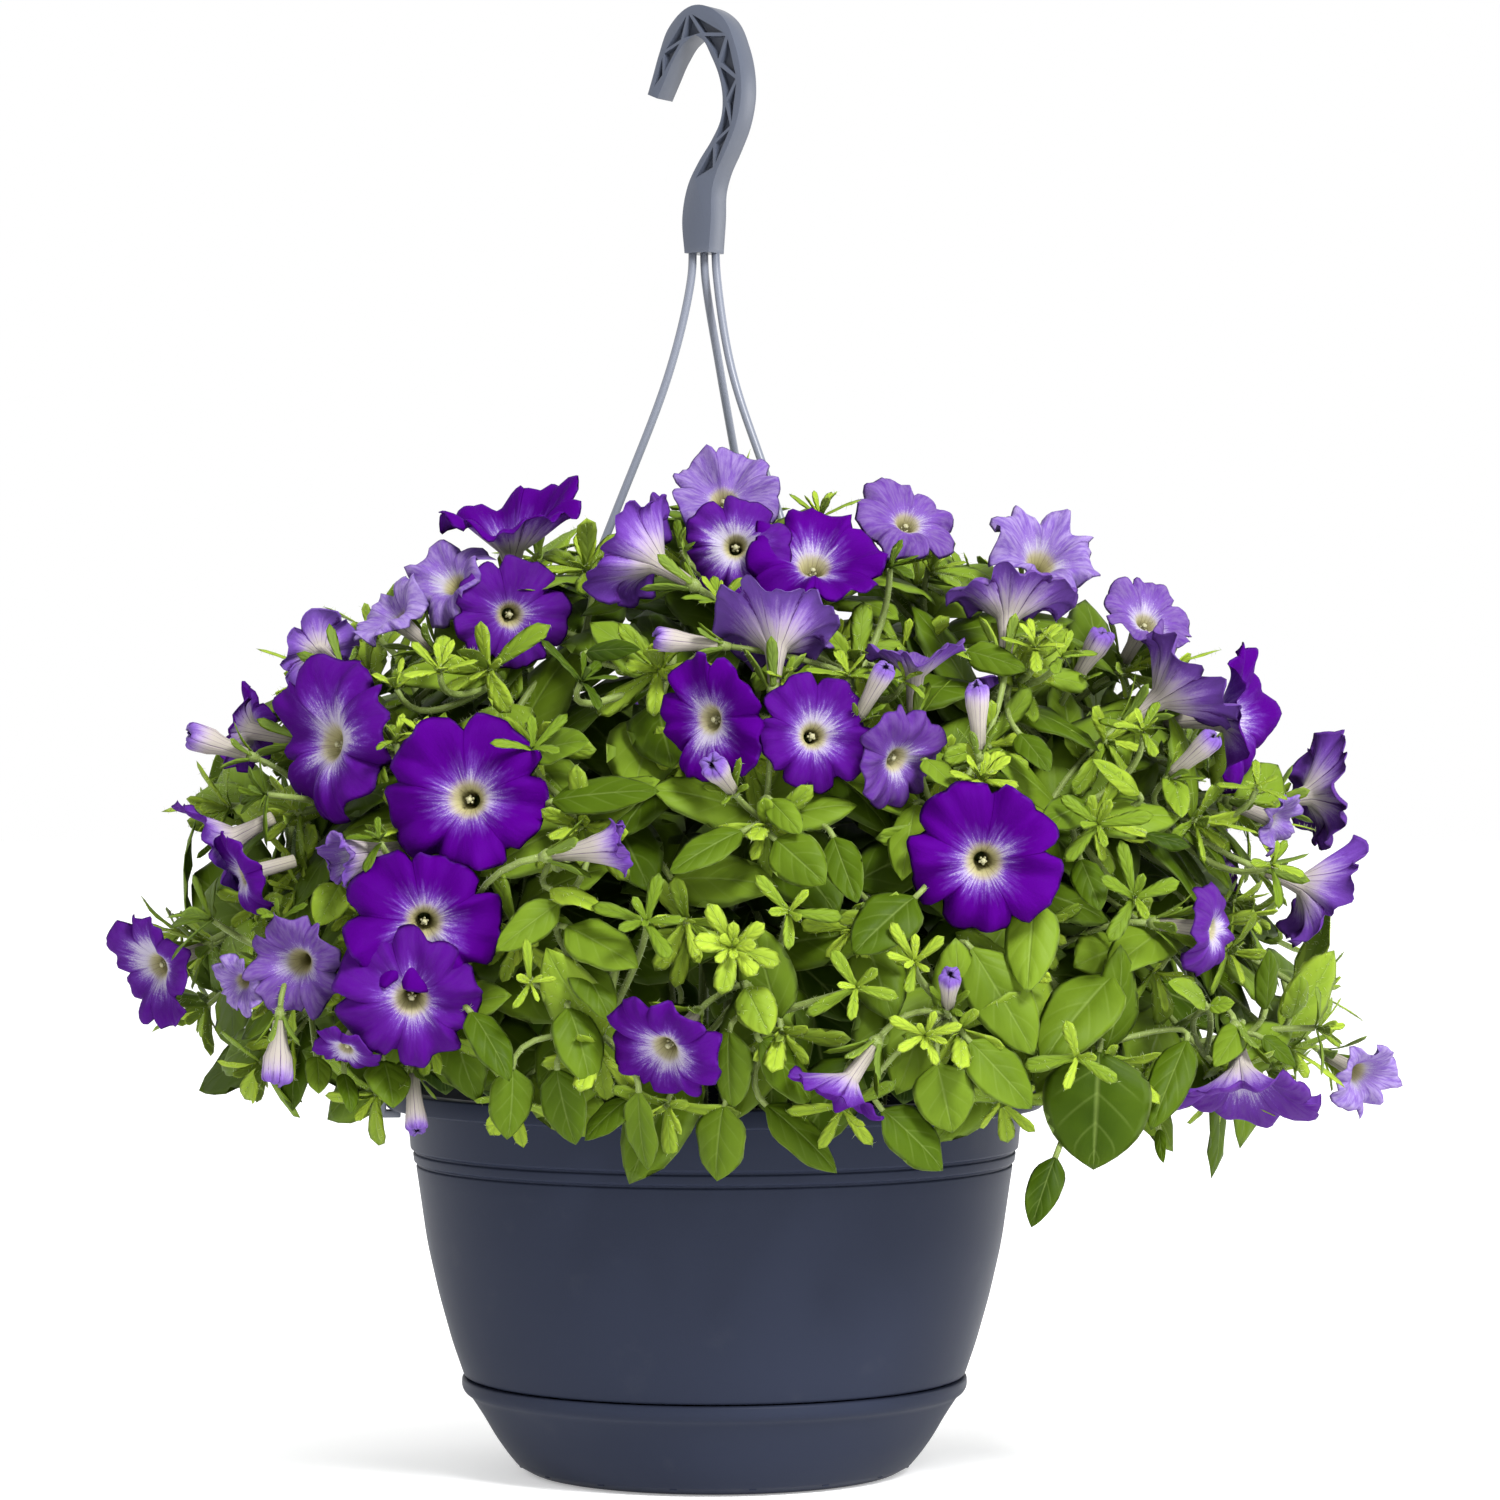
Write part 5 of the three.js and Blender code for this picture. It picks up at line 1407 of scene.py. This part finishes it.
def compost(settings):
    """Loose damp fill with a crumbled crown."""
    crown = [(r, crown_height(r)) for r in range(116, 0, -6)]
    fill = turned("loose_compost", [
        (0, 4.6), (73.4, 4.6, 1), (93.2, 38.2, 2), (100.4, 42, 2), (110.6, 72, 2), (120.4, 127, 2),
        (120.6, 138, 1.5), *crown, (0, 144)], 96)
    draw = drawer(SEEDS["compost"])
    for vertex in fill.data.vertices:
        if vertex.co.z > COMPOST["loose"] * MM:
            vertex.co.z += (2.2 * draw() - 1.1) * MM
    crumbs = [fill]
    for _ in range(settings.crumbs):
        at = polar(360 * draw(), 108 * math.sqrt(draw()) + 6, 0)
        height = crown_height(at.to_2d().length)
        bpy.ops.mesh.primitive_ico_sphere_add(
            subdivisions=1, radius=(1.2 + 2.6 * draw()) * MM, location=(at + height * UP) * MM,
            rotation=(6 * draw(), 6 * draw(), 6 * draw()))
        crumbs.append(baked((1, 0.6 + 0.4 * draw(), 0.5 + 0.3 * draw())))
    fill = joined(crumbs)
    smooth(fill, 60)
    return fill


def flowing(points, shares):
    """Smooth way through points at even steps, spaced by the root of each gap."""
    points = [np.array(p, float) for p in points]
    made = []
    for share in shares:
        place = (len(points) - 1) * share
        i = min(int(place), len(points) - 2)
        t = place - i
        b, c = points[i], points[i + 1]
        a = points[i - 1] if i > 0 else 2 * b - c
        d = points[i + 2] if i + 2 < len(points) else 2 * c - b
        ab, bc, cd = (math.sqrt(np.linalg.norm(y - x)) for x, y in ((a, b), (b, c), (c, d)))
        low = bc * ((b - a) / ab - (c - a) / (ab + bc) + (c - b) / bc)
        high = bc * ((c - b) / bc - (d - b) / (bc + cd) + (d - c) / cd)
        made.append(b + low * t + (3 * (c - b) - 2 * low - high) * t**2
                    + (2 * (b - c) + low + high) * t**3)
    return made


def hook_plate():
    h = HOOK
    shares = [i / h["steps"] for i in range(h["steps"] + 1)]
    across = polar(h["turn"], 1, 0)
    square = across.cross(UP)

    def edge(share, hand, inset=0.0):
        at, ahead = flowing(h["spine"], [share])[0], np.subtract(
            *(flowing(h["spine"], [min(1, max(0, share + d))])[0] for d in (1e-3, -1e-3)))
        reach = hand * (at[2] - inset) / math.hypot(ahead[0], ahead[1])
        side, rise = float(at[0] + ahead[1] * reach), float(at[1] - ahead[0] * reach)
        return (Vector((h["axis_x"], 0, 0)) + side * across + rise * UP) * MM

    outline = [edge(s, -1) for s in shares] + [edge(s, 1) for s in reversed(shares)]
    half = h["thickness"] / 2 * MM * square
    plate = prism("hook_plate", outline, -half, half)
    spine = flowing(h["spine"], [i / h["measured"] for i in range(h["measured"] + 1)])
    length = sum(float(np.linalg.norm(b - a)) for a, b in zip(spine, spine[1:]))
    count = round(length * h["pockets_end"] / h["pitch"])
    corners = [edge(h["first"] + i / count * h["pockets_end"], 1 if i % 2 else -1, h["rim"])
               for i in range(count + 1)]
    deep = (h["thickness"] / 2 - h["pocket_depth"]) * MM * square
    for i in range(count - 1):
        three = corners[i:i + 3]
        middle = sum(three, Vector()) / 3
        pocket = [middle.lerp(c, h["rib_share"]) for c in three]
        for side in (1, -1):
            cut(plate, prism("pocket", pocket, side * deep, side * (deep + h["through"] * MM * square)))
    soften(plate, h["trim"], 40)
    return plate


def clip(azimuth):
    """Hook-shaped lug gripping the lip of the pot."""
    c, p = CLIP, POT
    leg, top, out = p["mouth"] - 2.6, p["lip_top"] + GAP, p["lip"] + GAP
    far, high, trim = out + c["thickness"], top + c["thickness"], c["trim"]
    outline = [
        (leg - c["thickness"], c["leg_foot"]), (leg, c["leg_foot"]), (leg, top), (out, top),
        (out, p["lip_under"] - GAP), (c["reach"], p["lip_under"] - GAP), (c["reach"], c["hook_foot"]),
        (far - trim, c["hook_foot"]), (far, c["hook_foot"] + trim), (far, high - trim),
        (far - trim, high), (leg - c["thickness"], high)]
    side = polar(azimuth + 90, c["width"] / 2 * MM, 0)
    made = prism("clip", [polar(azimuth, r * MM, z * MM) for r, z in outline], -side, side)
    soften(made, 0.6, 30)
    return made


def moulded_hanger():
    strands = Gathering()
    for azimuth, way in STRANDS:
        end = polar(azimuth, CLIP["strand"], POT["lip_top"] + GAP + 1.6)
        centres = flowing([*way, end], [i / 48 for i in range(49)])
        shape = tube_lattice(centres, [STRAND_RADIUS] * 49, 16)
        strands.add(shape)
        strands.add(bead_lattice(end + Vector((0, 0, 0.6)), 2.5, UP, 0.8))
    cords = strands.piece("strands")
    for layer in list(cords.data.uv_layers):
        cords.data.uv_layers.remove(layer)
    hanger = joined([hook_plate(), cords, *(clip(azimuth) for azimuth, _ in STRANDS)])
    hanger.name = "moulded_hanger"
    smooth(hanger, 35)
    return hanger


def dress(piece, material):
    piece.data.materials.clear()
    piece.data.materials.append(material)
    return piece


# ---- settings ----

def colour_setting(name, description, default):
    return FloatVectorProperty(name=name, description=description, default=default, size=3,
                               subtype="COLOR", min=0, max=1)


class BASKET_PG_pot(bpy.types.PropertyGroup):
    turns: IntProperty(name="Turns", description="Steps round the pot and saucer", default=144, min=24)
    heel_ridges: IntProperty(name="Heel ridges", description="Short ridges round the saucer's heel",
                             default=16, min=0)
    crumbs: IntProperty(name="Crumbs", description="Loose lumps on the compost", default=90, min=0)
    plastic: colour_setting("Plastic", "Anthracite of the pot", (0.0155, 0.0192, 0.0335))
    sheen: colour_setting("Flow marks", "Paler grey of the flow marks", (0.018, 0.022, 0.038))
    damp: colour_setting("Damp compost", "Dark of the compost", (0.012, 0.007, 0.004))
    dry: colour_setting("Dry compost", "Pale crumbs of the compost", (0.05, 0.03, 0.016))


class BASKET_PG_hanger(bpy.types.PropertyGroup):
    plastic: colour_setting("Plastic", "Grey of the hook and strands", (0.04, 0.047, 0.066))
    pale: colour_setting("Flow marks", "Paler grey of the flow marks", (0.052, 0.06, 0.083))
    # painted highlight: the paler grey painted on the strands
    highlit: colour_setting("Strands", "Paler grey of the thin strands", (0.11, 0.12, 0.15))


class BASKET_PG_leaf(bpy.types.PropertyGroup):
    dark: colour_setting("Inner leaf", "Green of the shaded leaves", (0.011, 0.026, 0.001))
    mid: colour_setting("Leaf", "Green of the full-grown leaves", (0.047, 0.083, 0.003))
    bright: colour_setting("Outer leaf", "Green of the lit leaves", (0.118, 0.186, 0.013))
    young: colour_setting("Young leaf", "Yellow-green of the tips", (0.27, 0.37, 0.03))
    stem: colour_setting("Stem", "Green of the stems", (0.105, 0.14, 0.028))


class BASKET_PG_bloom(bpy.types.PropertyGroup):
    violet: colour_setting("Violet", "Deep colour of the petals", (0.048, 0.0, 0.136))
    dusk: colour_setting("Dusk", "Darker patches of the petals", (0.03, 0.0, 0.085))
    lilac: colour_setting("Lilac", "Where the star fades out", (0.13, 0.05, 0.31))
    star: colour_setting("Star", "Pale rays at the heart", (0.38, 0.36, 0.42))
    throat: colour_setting("Throat", "Yellow of the throat", (0.3, 0.275, 0.09))
    mauve: colour_setting("Back", "Mauve of the petals' backs", (0.058, 0.008, 0.16))
    tube: colour_setting("Tube", "Cream of the tube", (0.33, 0.3, 0.265))


class BASKET_PG_stage(bpy.types.PropertyGroup):
    distance: FloatProperty(name="Camera distance", description="From the camera to the pot's axis",
                            default=2.032, unit="LENGTH")
    width: FloatProperty(name="View width", description="Width seen at the pot's axis", default=0.618,
                         unit="LENGTH")
    light: FloatProperty(name="Light", description="Strength of the soft lamps", default=1.0, min=0)
    sky: FloatProperty(name="Sky", description="Strength of the white surroundings", default=1.0, min=0)
    ground: FloatProperty(name="Ground", description="Paleness of the floor", default=0.93, min=0,
                          max=1)
    glow: FloatProperty(name="Ground glow", description="Light of the floor itself", default=0.3, min=0)


# ---- operators ----

def lamp(name, place, aim, width, power):
    data = bpy.data.lights.new(name, "AREA")
    data.shape, data.size, data.energy = "DISK", width, power
    made = linked(name, data)
    made.location = place
    made.rotation_euler = (Vector(aim) - Vector(place)).to_track_quat("-Z", "Y").to_euler()


class BASKET_OT_stage(bpy.types.Operator):
    """Sets up the camera, the soft lamps and the plain pale ground"""
    bl_idname = "basket.stage"
    bl_label = "Stage"

    def execute(self, context):
        s = context.scene.basket_stage
        camera = bpy.data.cameras.new("front_camera")
        camera.sensor_width = 36
        camera.lens = camera.sensor_width * s.distance / s.width
        camera.clip_end = 50
        made = linked("front_camera", camera)
        made.location = (VIEW_CENTRE[0], -s.distance, VIEW_CENTRE[1])
        made.rotation_euler = (math.radians(90), 0, 0)
        context.scene.camera = made
        for name, place, height, width, power in LAMPS:
            lamp(name, place, (0, 0, height), width, power * s.light)
        world = bpy.data.worlds.new("white_surroundings")
        context.scene.world = world
        world.use_nodes = True
        world.node_tree.nodes["Background"].inputs[0].default_value = (1, 1, 1, 1)
        world.node_tree.nodes["Background"].inputs[1].default_value = s.sky
        context.scene.view_settings.view_transform = "Standard"
        bpy.ops.mesh.primitive_circle_add(vertices=96, radius=GROUND["radius"], fill_type="NGON",
                                          location=(0, 0, -GROUND["drop"]))
        ground = baked((1, 1, 1))
        ground.name = "ground"
        dress(ground, ground_finish(s))
        return {"FINISHED"}


class BASKET_OT_pot(bpy.types.Operator):
    """Turns the pot and its saucer"""
    bl_idname = "basket.pot"
    bl_label = "Pot and saucer"

    def execute(self, context):
        s = context.scene.basket_pot
        plastic = moulded_finish("anthracite_plastic", s.plastic, s.sheen, 0.36, 0.04)
        finished(dress(pot_shell(s), plastic), "pot_plastic", "pot")
        finished(dress(drip_saucer(s), plastic), "pot_plastic", "saucer")
        return {"FINISHED"}


class BASKET_OT_compost(bpy.types.Operator):
    """Fills the pot with crumbled compost"""
    bl_idname = "basket.compost"
    bl_label = "Compost"

    def execute(self, context):
        s = context.scene.basket_pot
        finished(dress(compost(s), compost_finish(s)), "compost", "soil")
        return {"FINISHED"}


class BASKET_OT_hanger(bpy.types.Operator):
    """Moulds the hook, its three strands and their clips"""
    bl_idname = "basket.hanger"
    bl_label = "Hanger"

    def execute(self, context):
        s = context.scene.basket_hanger
        plastic = moulded_finish("grey_plastic", s.plastic, s.pale, 0.3, 0.35, s.highlit)
        finished(dress(moulded_hanger(), plastic), "hanger_plastic", "hanger")
        return {"FINISHED"}


class BASKET_OT_stems(bpy.types.Operator):
    """Grows the leafy stems with their young tips, flower stalks and cups"""
    bl_idname = "basket.stems"
    bl_label = "Leafy stems"

    def execute(self, context):
        s = context.scene.basket_leaf
        leaf, stalk, hair = leaf_finish(s), stem_finish(s), hair_finish()
        garden = Garden()
        stems = [StemPiece(i, name, garden) for i, name in enumerate(STEMS)]
        for stem in stems:
            stem.stems()
            stem.own_leaves()
            stem.cups()
        place_young_tips(stems)
        place_large_leaves(stems)
        place_buds(stems)
        for stem in stems:
            for shoot in stem.shoots:
                stem.tip_rosette(shoot.chord_point(0.97), shoot.tangent(0.97))
        for stem in stems:
            side_shoots(stem, 2)
        for stem in stems:
            for shoot in stem.shoots:
                own = shoot.index < 5
                stem.more_leaves(shoot, MORE_LEAVES if own else SIDE_LEAVES, 0)
                if not own:
                    stem.tip_rosette(shoot.point(0.97), shoot.tangent(0.97), 7, 25, 7.6)
        for stem in stems:
            stem.piece(leaf, stalk, hair)
        return {"FINISHED"}


class BASKET_OT_blooms(bpy.types.Operator):
    """Opens the blooms on their tubes"""
    bl_idname = "basket.blooms"
    bl_label = "Blooms"

    def execute(self, context):
        petal, pollen = petal_finish(context.scene.basket_bloom), pollen_finish()
        nodes = {}
        for row, bloom in zip(BLOOMS, BLOOM_LIST):
            nodes.setdefault(row[0], []).append(bloom)
        for number, blooms in nodes.items():
            slot = "lavender_petals" if blooms[0].form == "faded" else "violet_petals"
            finished(corollas(f"corolla_{number:02d}", blooms, petal, pollen), slot,
                     f"bloom_{number:02d}")
        finished(corollas("buds", BUD_LIST, petal), "lavender_petals")
        return {"FINISHED"}


class BASKET_PT_panel(bpy.types.Panel):
    """The basket's pieces, in the order in which they are made"""
    bl_idname = "BASKET_PT_panel"
    bl_label = "Petunia basket"
    bl_space_type = "VIEW_3D"
    bl_region_type = "UI"
    bl_category = "Basket"

    def draw(self, context):
        scene = context.scene
        for settings, operators in GROUPS:
            box = self.layout.box()
            values = getattr(scene, settings)
            for name in values.__annotations__:
                box.prop(values, name)
            for operator in operators:
                box.operator(operator)


GROUPS = [
    ("basket_stage", ["basket.stage"]),
    ("basket_pot", ["basket.pot", "basket.compost"]),
    ("basket_hanger", ["basket.hanger"]),
    ("basket_bloom", ["basket.blooms"]),
    ("basket_leaf", ["basket.stems"]),
]
SETTINGS = {
    "basket_stage": BASKET_PG_stage, "basket_pot": BASKET_PG_pot, "basket_hanger": BASKET_PG_hanger,
    "basket_bloom": BASKET_PG_bloom, "basket_leaf": BASKET_PG_leaf,
}
OPERATORS = (BASKET_OT_stage, BASKET_OT_pot, BASKET_OT_compost, BASKET_OT_hanger, BASKET_OT_blooms,
             BASKET_OT_stems)


def register():
    for kind in (*SETTINGS.values(), *OPERATORS, BASKET_PT_panel):
        bpy.utils.register_class(kind)
    for name, kind in SETTINGS.items():
        setattr(bpy.types.Scene, name, PointerProperty(type=kind))


def unregister():
    for name in SETTINGS:
        delattr(bpy.types.Scene, name)
    for kind in reversed((*SETTINGS.values(), *OPERATORS, BASKET_PT_panel)):
        bpy.utils.unregister_class(kind)


def main():
    register()
    bpy.ops.basket.stage()
    bpy.ops.basket.pot()
    bpy.ops.basket.compost()
    bpy.ops.basket.hanger()
    bpy.ops.basket.blooms()
    bpy.ops.basket.stems()


if __name__ == "__main__":
    main()
